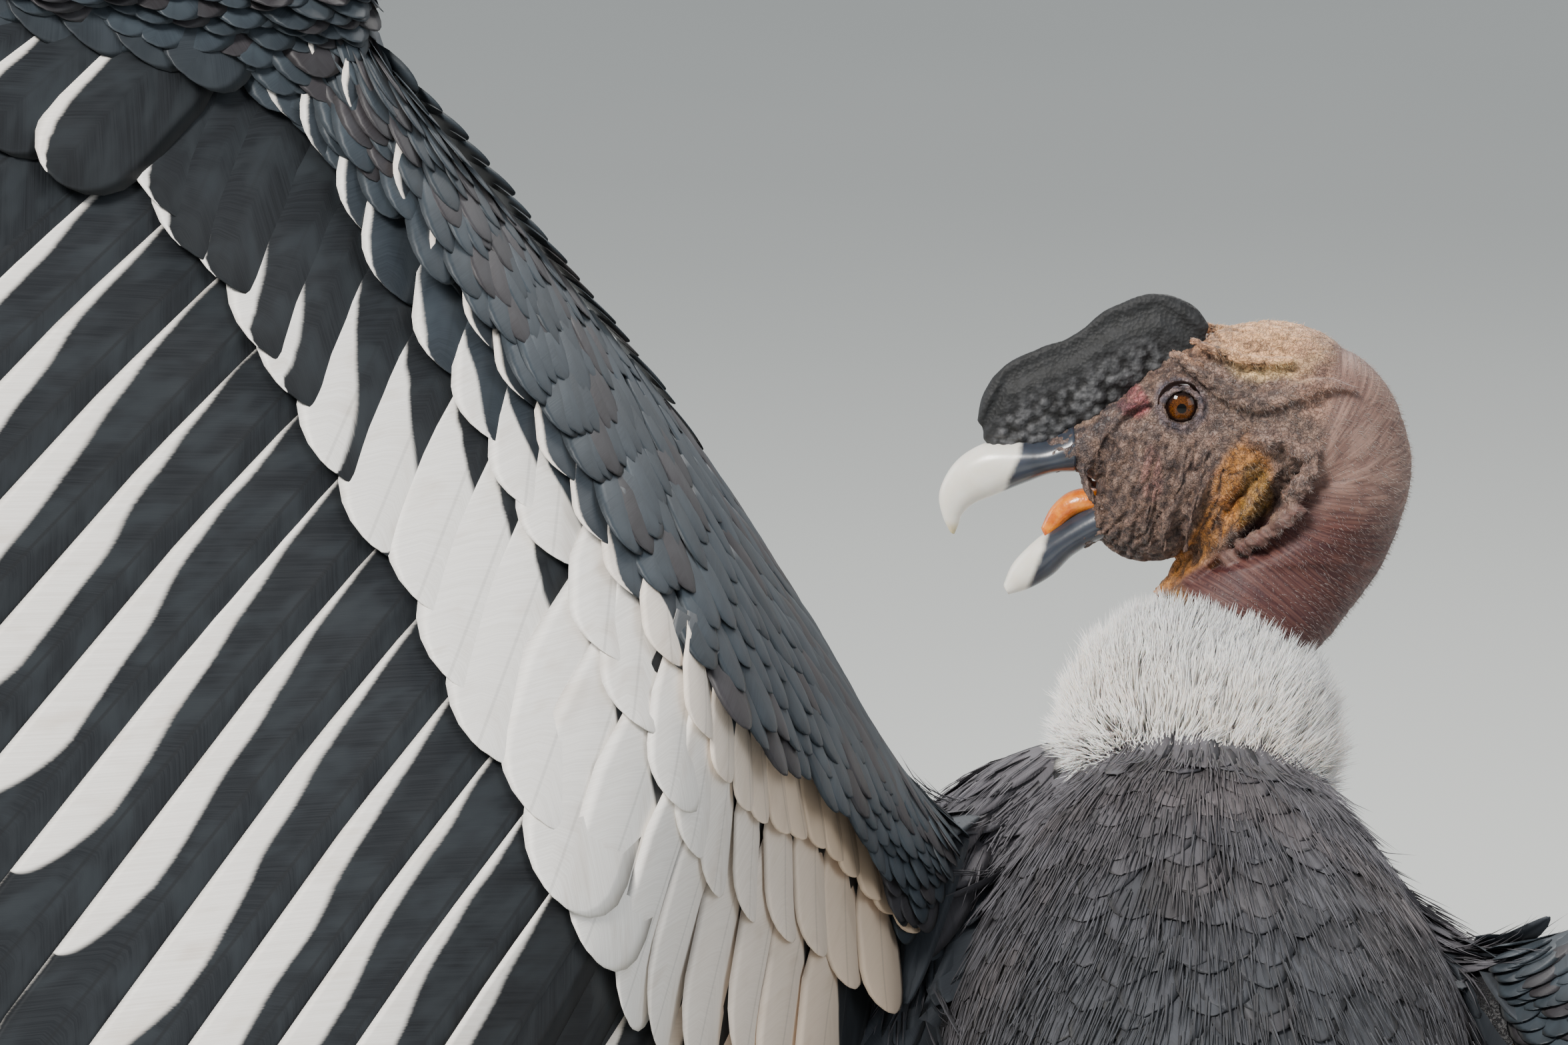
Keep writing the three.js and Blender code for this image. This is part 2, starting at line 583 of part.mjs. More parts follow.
// Tail: a short fleshy root with a fan of feathers, the middle pair on top.
const TAIL_COVERT = { width: 56, step: 1.8, outline: COVERT_OUTLINE };
function addTail() {
  const root = [0, -236, 400];
  const way = vec([0, -0.82, -0.57]).normalize();
  const face = vec([0, -0.57, 0.82]).normalize();
  const stump = loft([[-40, 26, 24], [0, 40, 22], [36, 34, 13], [54, 20, 4]].map(([along, wide, half]) => {
    const centre = shifted(root, way.toArray(), along);
    return { a: shifted(centre, [-1, 0, 0], wide), b: shifted(centre, [1, 0, 0], wide), half };
  }), 8, 3);
  const fan = (count, row) => Array.from({ length: count }, (_, i) => {
    const { length, width, spread, lift, step, outline } = row;
    const place = i - (count - 1) / 2;
    const angle = THREE.MathUtils.degToRad((place / count) * spread);
    const level = lift - step * (Math.abs(place) + (place > 0 ? 0.5 : 0));
    return vane({
      root: vec(root).addScaledVector(way, 6).addScaledVector(face, level).setX(place * 5).toArray(),
      along: way.clone().applyAxisAngle(face, angle).toArray(),
      face: face.toArray(),
      length: length * (1 - 0.012 * place * place),
      width,
      outline,
      droop: (0.04 * (length * (1 - 0.012 * place * place)) ** 2) / TAIL.length,
    });
  });
  const blades = [
    ...fan(TAIL.feathers, { ...TAIL, lift: 4, step: 2.6, outline: FLIGHT_OUTLINE }),
    ...fan(TAIL.coverts, { ...TAIL_COVERT, length: 120, spread: 34, lift: 14 }),
    ...fan(TAIL.underCoverts, { ...TAIL_COVERT, length: 105, spread: 30, lift: -14 }),
  ];
  addPiece('tail', joined(blades).add(stump).subtract(trunkForm(GAP)), 'plumage');
}

// Legs
const ANKLE_HEIGHT = 132;
const FOOT_Y = -52;

function addLeg(way) {
  const name = sideName[way];
  const x = way * HIP_SPREAD;
  const thighForm = (grow) => limb([
    [x * 0.95, 0, 470, 40, 34],
    [x * 1.05, 8, 400, 52, 42],
    [x * 1.1, -10, 320, 46, 38],
    [x * 1.05, -50, 240, 32, 28],
    [x, -84, 170, 20, 19],
    [x, -96, 142, 13, 13],
    [x, -98, 126, 9, 9],
  ], [0, 1, 0], 11, 7, grow);
  addPiece(`${name}_thigh`, thighForm(0).subtract(trunkForm(GAP)), 'plumage');
  const shank = limb([
    [x, -96, 150, 10, 9],
    [x, -96, ANKLE_HEIGHT, 14, 12],
    [x, -88, 110, 11, 10],
    [x, -70, 70, TARSUS_RADIUS, 9],
    [x, FOOT_Y - 4, 34, 12, 11],
    [x, FOOT_Y, 16, 16, 14],
    [x, FOOT_Y + 2, 8, 12, 12],
  ], [0, 1, 0], 9, 6);
  const toes = [
    { turn: 0, length: 104, radius: TOE_RADIUS },
    { turn: 32 * way, length: 76, radius: TOE_RADIUS * 0.9 },
    { turn: -30 * way, length: 70, radius: TOE_RADIUS * 0.92 },
    { turn: 172 * way, length: 42, radius: TOE_RADIUS * 0.8 },
  ];
  let foot = shank;
  const claws = [];
  toes.forEach(({ turn, length, radius }) => {
    const angle = THREE.MathUtils.degToRad(90 - turn);
    const ahead = [Math.cos(angle), Math.sin(angle), 0];
    const at = (distance, height, deep, wide) => [
      x + ahead[0] * distance, FOOT_Y + ahead[1] * distance, height, deep, wide,
    ];
    const lift = radius - 1.2;
    const clawRoot = at(length * 0.95, 0, 0, 0).slice(0, 3);
    const toe = limb([
      at(0, lift + 5, radius, radius),
      at(length * 0.3, lift + 1.5, radius, radius),
      at(length * 0.6, lift, radius * 0.94, radius * 0.95),
      at(length * 0.9, lift + 0.5, radius * 0.8, radius * 0.8),
      at(length, lift, radius * 0.5, radius * 0.5),
    ], [0, 0, 1], 7, 3);
    foot = foot.add(side(toe, ahead.map((v) => -v), clawRoot));
    const claw = limb([
      at(length * 0.9, lift, 5.5, 4.2),
      at(length * 1.02, lift + 1.5, 5, 3.8),
      at(length * 1.02 + 12, lift + 0.5, 3.6, 2.8),
      at(length * 1.02 + 21, lift - 3.5, 1.4, 1.2),
    ], [0, 0, 1], 6, 3);
    claws.push(side(side(claw, ahead, clawRoot), [0, 0, 1], [0, 0, 0], 0));
  });
  foot = side(foot, [0, 0, 1], [0, 0, 0], 0);
  addPiece(`${name}_foot`, foot.subtract(thighForm(GAP)), 'scale');
  claws.forEach((claw, index) => addPiece(`${name}_claw_${index + 1}`, claw, 'claw'));
}

addTrunk();
addRuff();
addHeadAndNeck();
addComb();
addTongue();
addWing(LEFT_ARM);
addWing(RIGHT_ARM);
addTail();
addLeg(-1);
addLeg(1);

// The origin is the middle of the standing bird's box, on the floor.
bird.updateMatrixWorld(true);
const box = new THREE.Box3().setFromObject(bird);
const middle = box.getCenter(new THREE.Vector3());
bird.position.set(-middle.x, -middle.y, 0);

export default bird;
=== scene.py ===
# Male Andean condor, still and life-size: left wing raised, head turned to its own left.
# Sizes are in millimetres as on the drawing of the solids, and place() puts them in the frame.
import math
import bpy
import bmesh
import numpy as np
from mathutils import Matrix, Vector, noise
from mathutils.bvhtree import BVHTree


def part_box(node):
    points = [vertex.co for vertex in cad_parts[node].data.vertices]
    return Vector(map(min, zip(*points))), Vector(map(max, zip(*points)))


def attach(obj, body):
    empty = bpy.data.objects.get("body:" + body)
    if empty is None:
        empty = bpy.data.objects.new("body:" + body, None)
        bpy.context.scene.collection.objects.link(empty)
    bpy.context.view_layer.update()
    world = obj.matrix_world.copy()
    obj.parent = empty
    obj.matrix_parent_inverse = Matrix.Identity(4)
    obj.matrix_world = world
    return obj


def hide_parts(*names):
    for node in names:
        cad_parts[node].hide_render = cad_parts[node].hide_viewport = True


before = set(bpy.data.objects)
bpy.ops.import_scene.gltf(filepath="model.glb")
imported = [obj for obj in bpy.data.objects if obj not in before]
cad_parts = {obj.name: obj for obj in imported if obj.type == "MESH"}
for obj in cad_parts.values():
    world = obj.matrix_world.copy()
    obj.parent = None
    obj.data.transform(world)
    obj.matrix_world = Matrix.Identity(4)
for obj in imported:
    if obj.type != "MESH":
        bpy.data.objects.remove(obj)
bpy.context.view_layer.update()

# The camera stands behind the bird and looks a little down on its back through a long lens.
# It takes in the head, the ruff, the mantle and the raised left wing.
LEFT_EYE = np.array([-6.2, 144.0, 828.1])
low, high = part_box("left_eye")
SHIFT = np.array((low + high) / 2) * 1000 - LEFT_EYE


def place(points):
    return (np.asarray(points, float) + SHIFT) / 1000


CAMERA_SPOT = [-169.2, -2549.0, 1449.1]
CAMERA_DIP = math.radians(14)
SENSOR = 36
FOCAL_PIXELS = 10080
FRAME_WIDTH = 2352
optics = bpy.data.cameras.new("camera")
optics.sensor_width = SENSOR
optics.lens = SENSOR * FOCAL_PIXELS / FRAME_WIDTH
optics.clip_end = 100
camera = bpy.data.objects.new("camera", optics)
camera.location = place(CAMERA_SPOT)
camera.rotation_euler = (math.pi / 2 - CAMERA_DIP, 0, 0)
bpy.context.scene.collection.objects.link(camera)
bpy.context.scene.camera = camera

# The studio: a plain pale floor, a pale surround and four large soft lamps, the strongest of
# them high on the left behind the camera.
def tint(red, green, blue):
    """A display colour of 0 to 255 as linear light."""
    return tuple(((c / 255 + 0.055) / 1.055) ** 2.4 if c > 10 else c / 3295 for c in (red, green, blue))


def new_material(name, roughness=0.6, **sockets):
    material = bpy.data.materials.new(name)
    material.use_nodes = True
    shader = material.node_tree.nodes["Principled BSDF"]
    shader.inputs["Roughness"].default_value = roughness
    for key, value in sockets.items():
        shader.inputs[key.replace("_", " ")].default_value = value
    return material, shader


def join(material, source, target):
    material.node_tree.links.new(source, target)


def step(material, kind, out=0, inputs=None, **settings):
    """Adds one shader node and returns its output; inputs are numbers, colours or outputs."""
    node = material.node_tree.nodes.new(kind)
    for key, value in settings.items():
        setattr(node, key, value)
    for key, value in (inputs or {}).items():
        if isinstance(value, bpy.types.NodeSocket):
            join(material, value, node.inputs[key])
        else:
            node.inputs[key].default_value = value
    return node.outputs[out]


def sums(material, operation, first, second=0.0):
    return step(material, "ShaderNodeMath", inputs={0: first, 1: second}, operation=operation)


def times(material, first, second):
    return sums(material, "MULTIPLY", first, second)


def gap_to(material, value, middle):
    return sums(material, "ABSOLUTE", sums(material, "SUBTRACT", value, middle))


def parts_of(material, vector):
    """The x, y and z of a vector output."""
    split = material.node_tree.nodes.new("ShaderNodeSeparateXYZ")
    join(material, vector, split.inputs[0])
    return split.outputs


def mixed(material, factor, first, second):
    as_colour = [c if isinstance(c, bpy.types.NodeSocket) else (*c, 1) for c in (first, second)]
    return step(material, "ShaderNodeMix", 2, {0: factor, 6: as_colour[0], 7: as_colour[1]}, data_type="RGBA")


def eased(material, value, start, end, low_value=0.0, high_value=1.0):
    inputs = {0: value, 1: start, 2: end, 3: low_value, 4: high_value}
    return step(material, "ShaderNodeMapRange", inputs=inputs, interpolation_type="SMOOTHSTEP")


def grain(material, vector, scale, detail=3.0, rough=0.55):
    inputs = {"Vector": vector, "Scale": scale, "Detail": detail, "Roughness": rough}
    return step(material, "ShaderNodeTexNoise", 0, inputs)


def cells(material, vector, scale, feature="F1"):
    inputs = {"Vector": vector, "Scale": scale}
    return step(material, "ShaderNodeTexVoronoi", "Distance", inputs, feature=feature)


def relief(material, shader, height, depth_mm, strength=1.0):
    inputs = {"Strength": strength, "Distance": depth_mm / 1000, "Height": height}
    join(material, step(material, "ShaderNodeBump", 0, inputs), shader.inputs["Normal"])


def own_place(material):
    return step(material, "ShaderNodeTexCoord", "Object")


def attribute(material, name, out="Vector"):
    return step(material, "ShaderNodeAttribute", out, attribute_name=name)


def mesh_from(bm, name):
    mesh = bpy.data.meshes.new(name)
    bm.to_mesh(mesh)
    bm.free()
    return mesh


def stand_in_scene(name, mesh, material):
    piece = bpy.data.objects.new(name, mesh)
    bpy.context.scene.collection.objects.link(piece)
    mesh.materials.clear()
    mesh.materials.append(material)
    mesh.polygons.foreach_set("use_smooth", [True] * len(mesh.polygons))
    return piece


FLOOR_REACH = 14.0
floor_paint, floor_shader = new_material("floor paint", 0.75, Specular_IOR_Level=0.2)
floor_tone = grain(floor_paint, own_place(floor_paint), 0.7)
join(floor_paint, mixed(floor_paint, floor_tone, tint(206, 208, 204), tint(216, 217, 213)),
     floor_shader.inputs["Base Color"])
bm = bmesh.new()
bmesh.ops.create_grid(bm, x_segments=1, y_segments=1, size=FLOOR_REACH)
floor = stand_in_scene("floor", mesh_from(bm, "floor"), floor_paint)

SURROUND_LIGHT = 0.6
surround = bpy.data.worlds.new("surround")
surround.use_nodes = True
backdrop = surround.node_tree.nodes["Background"]
backdrop.inputs["Color"].default_value = (*tint(226, 232, 238), 1)
backdrop.inputs["Strength"].default_value = SURROUND_LIGHT
bpy.context.scene.world = surround

# each lamp's spot and width in metres, its watts and its colour
LAMPS = {
    "key": ((-1.7, -2.0, 3.3), 1.0, 235, (1.0, 0.97, 0.92)),
    "fill": ((2.6, -1.8, 1.9), 2.0, 34, (0.9, 0.95, 1.0)),
    "rim": ((0.6, 2.4, 2.8), 1.4, 70, (1.0, 0.98, 0.95)),
    "far": ((-2.8, 1.2, 1.6), 1.6, 30, (0.95, 0.97, 1.0)),
}
LAMP_AIM = Vector((0, 0, 0.75))
for lamp_name, (spot, reach, watts, colour) in LAMPS.items():
    lamp = bpy.data.lights.new(lamp_name, "AREA")
    lamp.size = reach
    lamp.energy = watts
    lamp.color = colour
    lamp_stand = bpy.data.objects.new(lamp_name, lamp)
    lamp_stand.location = spot
    lamp_stand.rotation_euler = (LAMP_AIM - Vector(spot)).to_track_quat("-Z", "Y").to_euler()
    bpy.context.scene.collection.objects.link(lamp_stand)

# The skin: one hide over head, neck, trunk, arms, thighs and tail root. Bare and wrinkled on
# head and neck, with folds, beads and a throat wattle; elsewhere it lies hidden under the coat.
def unit(vectors):
    """The vectors, each one long."""
    vectors = np.asarray(vectors, float)
    return vectors / np.maximum(np.linalg.norm(vectors, axis=-1, keepdims=True), 1e-9)


def flat_on(vectors, face):
    """The vectors without their share along the face, each one long."""
    return unit(vectors - face * (vectors * face).sum(1, keepdims=True))


def towards(vectors, side):
    """The vectors, turned round where they point away from the side."""
    return vectors * np.where((vectors * side).sum(1, keepdims=True) < 0, -1, 1)


def soft(value, start, end):
    """Eases from 0 at the start to 1 at the end."""
    share = np.clip((np.asarray(value, float) - start) / (end - start), 0, 1)
    return share * share * (3 - 2 * share)


def curve_through(points):
    """A smooth curve through the points, as a function of 0 to 1."""
    points = np.asarray(points, float)
    padded = np.vstack([2 * points[0] - points[1], points, 2 * points[-1] - points[-2]])

    def at(t):
        t = np.clip(np.atleast_1d(t), 0, 1) * (len(points) - 1)
        i = np.minimum(t.astype(int), len(points) - 2)
        w = (t - i)[:, None]
        p0, p1, p2, p3 = (padded[i + k] for k in range(4))
        d1 = np.sqrt(np.linalg.norm(p2 - p1, axis=1, keepdims=True))
        d1 = np.where(d1 < 1e-4, 1, d1)
        d0 = np.sqrt(np.linalg.norm(p1 - p0, axis=1, keepdims=True))
        d0 = np.where(d0 < 1e-4, d1, d0)
        d2 = np.sqrt(np.linalg.norm(p3 - p2, axis=1, keepdims=True))
        d2 = np.where(d2 < 1e-4, d1, d2)
        m1 = ((p1 - p0) / d0 - (p2 - p0) / (d0 + d1) + (p2 - p1) / d1) * d1
        m2 = ((p2 - p1) / d1 - (p3 - p1) / (d1 + d2) + (p3 - p2) / d2) * d1
        bend = 3 * (p2 - p1) - 2 * m1 - m2
        return p1 + m1 * w + bend * w ** 2 + (2 * (p1 - p2) + m1 + m2) * w ** 3

    return at


def loft(stations, grow=0.0):
    """A tube's surface. A station has two opposite edge points and the half-width across them."""
    first = curve_through([s[0] for s in stations])
    second = curve_through([s[1] for s in stations])
    halves = curve_through([[s[2], 0, 0] for s in stations])

    def surface(t, angle):
        t = np.clip(np.atleast_1d(np.asarray(t, float)), 0, 1)
        angle = np.broadcast_to(angle, t.shape)[:, None]
        behind = np.maximum(t - 1e-3, 0)
        ahead = np.minimum(t + 1e-3, 1)
        a = first(t)
        b = second(t)
        along = unit(first(ahead) - first(behind)) + unit(second(ahead) - second(behind))
        spread = (a - b) / 2
        across = unit(np.cross(spread, along))
        wide = halves(t)[:, :1] + grow
        spread = spread * (1 + grow / np.linalg.norm(spread, axis=1, keepdims=True))
        return (a + b) / 2 + across * wide * np.sin(angle) + spread * np.cos(angle)

    return surface


def limb(points, up, grow=0.0):
    """A loft of oval sections along a line of x, y, z, depth and width."""
    up = np.asarray(up, float)
    stations = []
    for *middle, depth, width in points:
        stations.append((np.array(middle) + up * depth, np.array(middle) - up * depth, width))
    return loft(stations, grow)


def tube(surface, sides, rows):
    """A closed mesh over a loft's surface, in frame metres."""
    bm = bmesh.new()
    bmesh.ops.create_cone(bm, cap_ends=True, segments=sides, radius1=1, radius2=1, depth=1)
    upright = [e for e in bm.edges if abs(e.verts[0].co.z - e.verts[1].co.z) > 0.5]
    bmesh.ops.subdivide_edges(bm, edges=upright, cuts=rows - 1, use_grid_fill=True)
    spots = np.array([v.co for v in bm.verts])
    moved = place(surface(0.5 - spots[:, 2], np.arctan2(spots[:, 0], spots[:, 1])))
    for vert, spot in zip(bm.verts, moved):
        vert.co = spot
    bmesh.ops.recalc_face_normals(bm, faces=bm.faces)
    return mesh_from(bm, "form")


def bead(centre, radius, seed):
    """A lumpy knob of skin."""
    bm = bmesh.new()
    bmesh.ops.create_icosphere(bm, subdivisions=2, radius=1)
    for vert in bm.verts:
        lump = 1 + 0.5 * noise.noise(vert.co * 1.7 + Vector((seed, 0, 0)))
        vert.co = Vector(place(np.array(centre) + np.array(vert.co) * np.array(radius) * lump))
    return mesh_from(bm, "bead")


def fused(name, forms, voxel_mm, smoothings):
    """All the forms as one closed skin of even small faces."""
    bm = bmesh.new()
    for form in forms:
        bm.from_mesh(form)
    whole = bpy.data.objects.new(name, mesh_from(bm, name))
    bpy.context.scene.collection.objects.link(whole)
    remesh = whole.modifiers.new("remesh", "REMESH")
    remesh.mode = "VOXEL"
    remesh.voxel_size = voxel_mm / 1000
    ready = whole.evaluated_get(bpy.context.evaluated_depsgraph_get())
    even = bpy.data.meshes.new_from_object(ready)
    bpy.data.objects.remove(whole)
    bm = bmesh.new()
    bm.from_mesh(even)
    axes = {f"use_axis_{axis}": True for axis in "xyz"}
    for _ in range(smoothings):
        bmesh.ops.smooth_vert(bm, verts=bm.verts, factor=0.5, **axes)
    bm.to_mesh(even)
    bm.free()
    return even


EYE_MID = np.array([-6.2, 165.0, 823.1])
EYE_RISE = 5
EYE_SPREAD = 21
EYE_RADIUS = 9.5


def head_point(forward, up, sideways=0.0):
    return [EYE_MID[0] - forward, EYE_MID[1] + sideways, EYE_MID[2] + up]


def profile(rows):
    """Stations from rows of upper forward and up, lower forward and up, sideways and half-width."""
    return [(head_point(r[0], r[1], r[4]), head_point(r[2], r[3], r[4]), r[5]) for r in rows]


NECK = [
    (-47, -150, 12, -140, -14, 26), (-49, -118, 6, -104, -10, 26), (-69, -93, 3, -81, -4, 31),
    (-86, -70, -5, -74, 1, 34), (-95, -47, -19, -64, 4, 35), (-98, -27, -27, -47, 4, 34),
    (-94, -7, -32, -35, 3, 32), (-86, 9, -29, -32, 1, 31), (-73, 21, -24, -35, 0, 31),
    (-58, 25, -18, -39, 0, 27),
]
HEAD = [
    (-80, 11, -30, -27, 0, 25), (-62, 28.5, -17.5, -42.5, 0, 31.2), (-42, 35, -5, -62, 0, 31),
    (-23, 33, 12, -67, 0, 30), (-6, 27, 26, -63, 0, 28), (10, 17, 32, -56, 0, 23),
    (24, 4.5, 35, -45, 0, 17),
]
CERE = [
    (4, 16, 4, -34, 0, 19), (21, 6, 20, -36, 0, 16), (32, -1, 32, -33, 0, 14),
    (43, -8, 42, -28.5, 0, 12.5), (55, -14.5, 51, -29, 0, 11.5),
]
JAW = [
    (4, -36, 6, -62, 0, 18), (20, -37, 18, -60, 0, 15), (34, -41, 29, -57, 0, 11.5),
    (44, -48, 38, -62, 0, 10),
]
# Folds: forward, up and sideways of the middle of the eyes, then half-height and half-width.
BROW_FOLD = [
    (4, 26, 20, 2.5, 3), (-8, 19, 26.5, 4.5, 4), (-17, 12, 29, 5, 4), (-27, 8, 30, 4.5, 4),
    (-38, 8.5, 30, 5, 4), (-49, 12, 28.5, 5, 4), (-62, 14, 25.5, 3, 3), (-72, 11, 23, 2, 2),
]
CROWN_FOLD = [(-4, 31, 16, 2, 3), (-16, 27, 22, 3, 3), (-30, 24, 25, 2.5, 3), (-46, 24, 25, 2, 3)]
CHEEK_FOLDS = [
    [(22, -8, 17.5, 1.6, 2.2), (25, -22, 18.5, 2.2, 2.6), (26, -36, 17.5, 2.2, 2.4), (23, -50, 14, 1.8, 2)],
    [(13, -10, 22, 1.6, 2.2), (17, -24, 22.5, 2.4, 2.6), (20, -40, 20, 2.4, 2.6), (17, -54, 16, 1.8, 2)],
    [(5, -12, 25.5, 1.8, 2.4), (9, -26, 26, 2.6, 3), (13, -42, 24, 2.6, 2.8), (12, -56, 19, 2, 2.2)],
    [(-3, -13, 27.5, 1.8, 2.4), (0, -27, 28.3, 2.6, 3), (5, -42, 27, 2.6, 2.8), (6, -57, 21.5, 2, 2.2)],
    [(-10, -13, 28.8, 1.8, 2.4), (-8, -28, 29.5, 2.6, 3), (-4, -43, 28.2, 2.4, 2.8),
     (-3, -57, 23, 2, 2.2)],
]
GAPE_LIP = [
    (40, -24, 12, 1.8, 2.2), (37, -33, 13.4, 2.5, 2.4), (33, -42, 13, 2.2, 2.4), (31, -54, 10.5, 2, 2),
]
EYE_CORNER = [
    (14, 8, 22.5, 2, 2.2), (22, 2, 17.5, 2.4, 2.4), (29, -8, 14.6, 2.2, 2.2), (34, -18, 13.6, 1.6, 2),
]
WATTLE = [
    (-17, -30, 0, 9, 5.5), (-14, -48, 0, 9.5, 6), (-8, -64, 0, 8.5, 5), (2, -77, 0, 4.5, 3.4),
    (10, -80, 0, 2, 2),
]
THROAT_FOLD = [
    (-18, -24, 24, 2.5, 3.2), (-16, -38, 22.5, 3.4, 4), (-13, -52, 17, 3.6, 4), (-9, -66, 9, 3.4, 4),
    (-2, -75, 4, 2.4, 3),
]
THROAT = [
    (-43, -16, 0, 8, 25), (-35, -27, 0, 12, 29.5), (-28, -38, 0, 13, 29), (-21, -50, 0, 13, 26),
    (-14, -62, 0, 12, 22), (-6, -71, 0, 10, 18), (3, -79, 0, 6, 14),
]
# Beads behind the cheek: forward, up and sideways of the middle of the eyes, then radius.
BEADS = [
    (-30, -8, 29.5, 3.6), (-36, -9, 30.5, 4.4), (-43, -8, 30.5, 3.8), (-46, -12, 31, 3.6),
    (-52, -14, 31.5, 4.4), (-53, -20, 32.5, 3.8), (-49, -26, 33, 4.6), (-45, -31, 32.5, 3.6),
    (-47, -37, 33, 4.2), (-42, -42, 31.5, 4.8), (-37, -47, 29.5, 3.8), (-32, -51, 26.5, 4.6),
    (-27, -55, 23, 3.8), (-21, -60, 19, 4),
]
LID_RING = 7.9
LID_RADIUS = 1.9
LID_OUT = 6.6
HEAD_VOXEL = 0.95


def fold(points, way, up, sides=12, rows=24):
    line = [(*head_point(p[0], p[1], p[2] * way), p[3], p[4]) for p in points]
    return tube(limb(line, up), sides, rows)


head_forms = [tube(loft(profile(rows)), 56, 60) for rows in (NECK, HEAD, CERE, JAW)]
head_forms.append(fold(WATTLE, 1, (1, 0, 0.3), 20, 30))
head_forms.append(fold(THROAT, 1, (1, 0, 0.5), 28, 24))
for way in (-1, 1):
    head_forms.append(fold(BROW_FOLD, way, (0, 0, 1)))
    head_forms.append(fold(CROWN_FOLD, way, (0, 0, 1)))
    for points in (*CHEEK_FOLDS, GAPE_LIP, EYE_CORNER, THROAT_FOLD):
        head_forms.append(fold(points, way, (1, 0, 0)))
    for number, (forward, up, sideways, radius) in enumerate(BEADS):
        middle = head_point(forward, up, (sideways + 0.8) * way)
        head_forms.append(bead(middle, (radius * 1.15, radius, radius * 0.95), number))
    lid = bmesh.new()
    bmesh.ops.create_circle(lid, cap_ends=True, segments=14, radius=LID_RADIUS,
                            matrix=Matrix.Translation((LID_RING, 0, 0)))
    bmesh.ops.spin(lid, geom=lid.verts[:] + lid.edges[:] + lid.faces[:], cent=(0, 0, 0), axis=(0, 1, 0),
                   angle=2 * math.pi, steps=40, use_merge=True, use_duplicate=False)
    bmesh.ops.delete(lid, geom=[f for f in lid.faces if len(f.verts) > 4], context="FACES_ONLY")
    bmesh.ops.remove_doubles(lid, verts=lid.verts, dist=1e-4)
    lid_middle = np.array(head_point(0, EYE_RISE, way * (EYE_SPREAD + LID_OUT)))
    for vert in lid.verts:
        vert.co = Vector(place(lid_middle + np.array(vert.co)))
    bmesh.ops.recalc_face_normals(lid, faces=lid.faces)
    head_forms.append(mesh_from(lid, "lid"))
head_skin = fused("head", head_forms, HEAD_VOXEL, 2)

TRUNK = [
    (0, -250, 392, 20, 26), (0, -215, 415, 38, 52), (0, -150, 452, 74, 88), (0, -60, 510, 106, 114),
    (0, 30, 570, 116, 116), (0, 95, 620, 98, 92), (4, 132, 656, 62, 62), (10, 148, 688, 42, 42),
    (15, 152, 720, 32, 30),
]
TRUNK_UP = (0, -0.55, 0.83)
COAT_DEPTH = 9
RUFF_AXIS = unit([0.28, 0.25, 0.93])
RUFF_FOOT = np.array([-3, 138, 664])
RUFF_TOP = np.array([11, 152, 712])
LEFT_ARM = {
    "side": -1, "shoulder": (-104, 105, 640), "elbow": (-203, -110, 776), "wrist": (-368, 5, 1027),
    "hand": (-0.87, -0.42, 0.25), "inner_trail": (-0.2, -0.84, -0.5),
    "trail": (-0.387, -0.823, -0.409), "outer_trail": (-0.475, -0.807, -0.343),
}
RIGHT_ARM = {
    "side": 1, "shoulder": (104, 100, 590), "elbow": (286, -98, 632), "wrist": (550, 52, 738),
    "hand": (0.84, -0.52, 0.16), "inner_trail": (0.1, -0.9, -0.43),
    "trail": (0.28, -0.87, -0.4), "outer_trail": (0.42, -0.84, -0.34),
}
ARM_DEPTH = 3.0
HAND_LENGTH = 235
HIP_SPREAD = 62
BODY_VOXEL = 7


def between(a, b, t):
    return np.array(a, float) * (1 - t) + np.array(b, float) * t


def shifted(a, way, distance):
    return np.array(a, float) + np.array(way, float) * distance


def arm_stations(arm):
    """From shoulder to fingertip: leading edge, trailing edge and half-thickness."""
    chord = np.linalg.norm(np.subtract(arm["shoulder"], arm["wrist"]))
    crest = unit(np.cross(arm["trail"], np.subtract(arm["wrist"], arm["elbow"])))
    crest = crest * np.sign(crest[2])

    def lead(t, out):
        point = between(arm["shoulder"], arm["wrist"], t)
        return point + unit(point - np.array(arm["elbow"])) * out * chord + crest * 0.7 * out * chord

    palm = shifted(arm["wrist"], arm["hand"], HAND_LENGTH * 0.55)
    fingertip = shifted(arm["wrist"], arm["hand"], HAND_LENGTH)
    shoulder, elbow, wrist = arm["shoulder"], arm["elbow"], arm["wrist"]
    trail, outer = arm["trail"], arm["outer_trail"]
    return [
        (shifted(shoulder, (arm["side"] * -0.5, 0.6, 0.4), 14), shifted(shoulder, trail, 66), 27),
        (lead(0.14, 0.015), shifted(between(shoulder, elbow, 0.3), trail, 30), 23),
        (lead(0.3, 0.05), shifted(between(shoulder, elbow, 0.7), trail, 18), 19),
        (lead(0.47, 0.07), shifted(elbow, trail, 14), 18),
        (lead(0.68, 0.06), shifted(between(elbow, wrist, 0.4), trail, 8), 15),
        (lead(0.88, 0.05), shifted(between(elbow, wrist, 0.8), trail, 6), 14),
        (shifted(lead(1, 0), outer, -34), shifted(wrist, outer, 12), 13),
        (shifted(palm, outer, -20), shifted(palm, outer, 18), 9),
        (shifted(fingertip, outer, -8), shifted(fingertip, outer, 8), 5),
    ]


def thigh(way, grow=0.0):
    x = way * HIP_SPREAD
    return limb([
        (x * 0.95, 0, 470, 40, 34), (x * 1.05, 8, 400, 52, 42), (x * 1.1, -10, 320, 46, 38),
        (x * 1.05, -50, 240, 32, 28), (x, -84, 170, 20, 19), (x, -96, 142, 13, 13), (x, -98, 126, 9, 9),
    ], (0, 1, 0), grow)


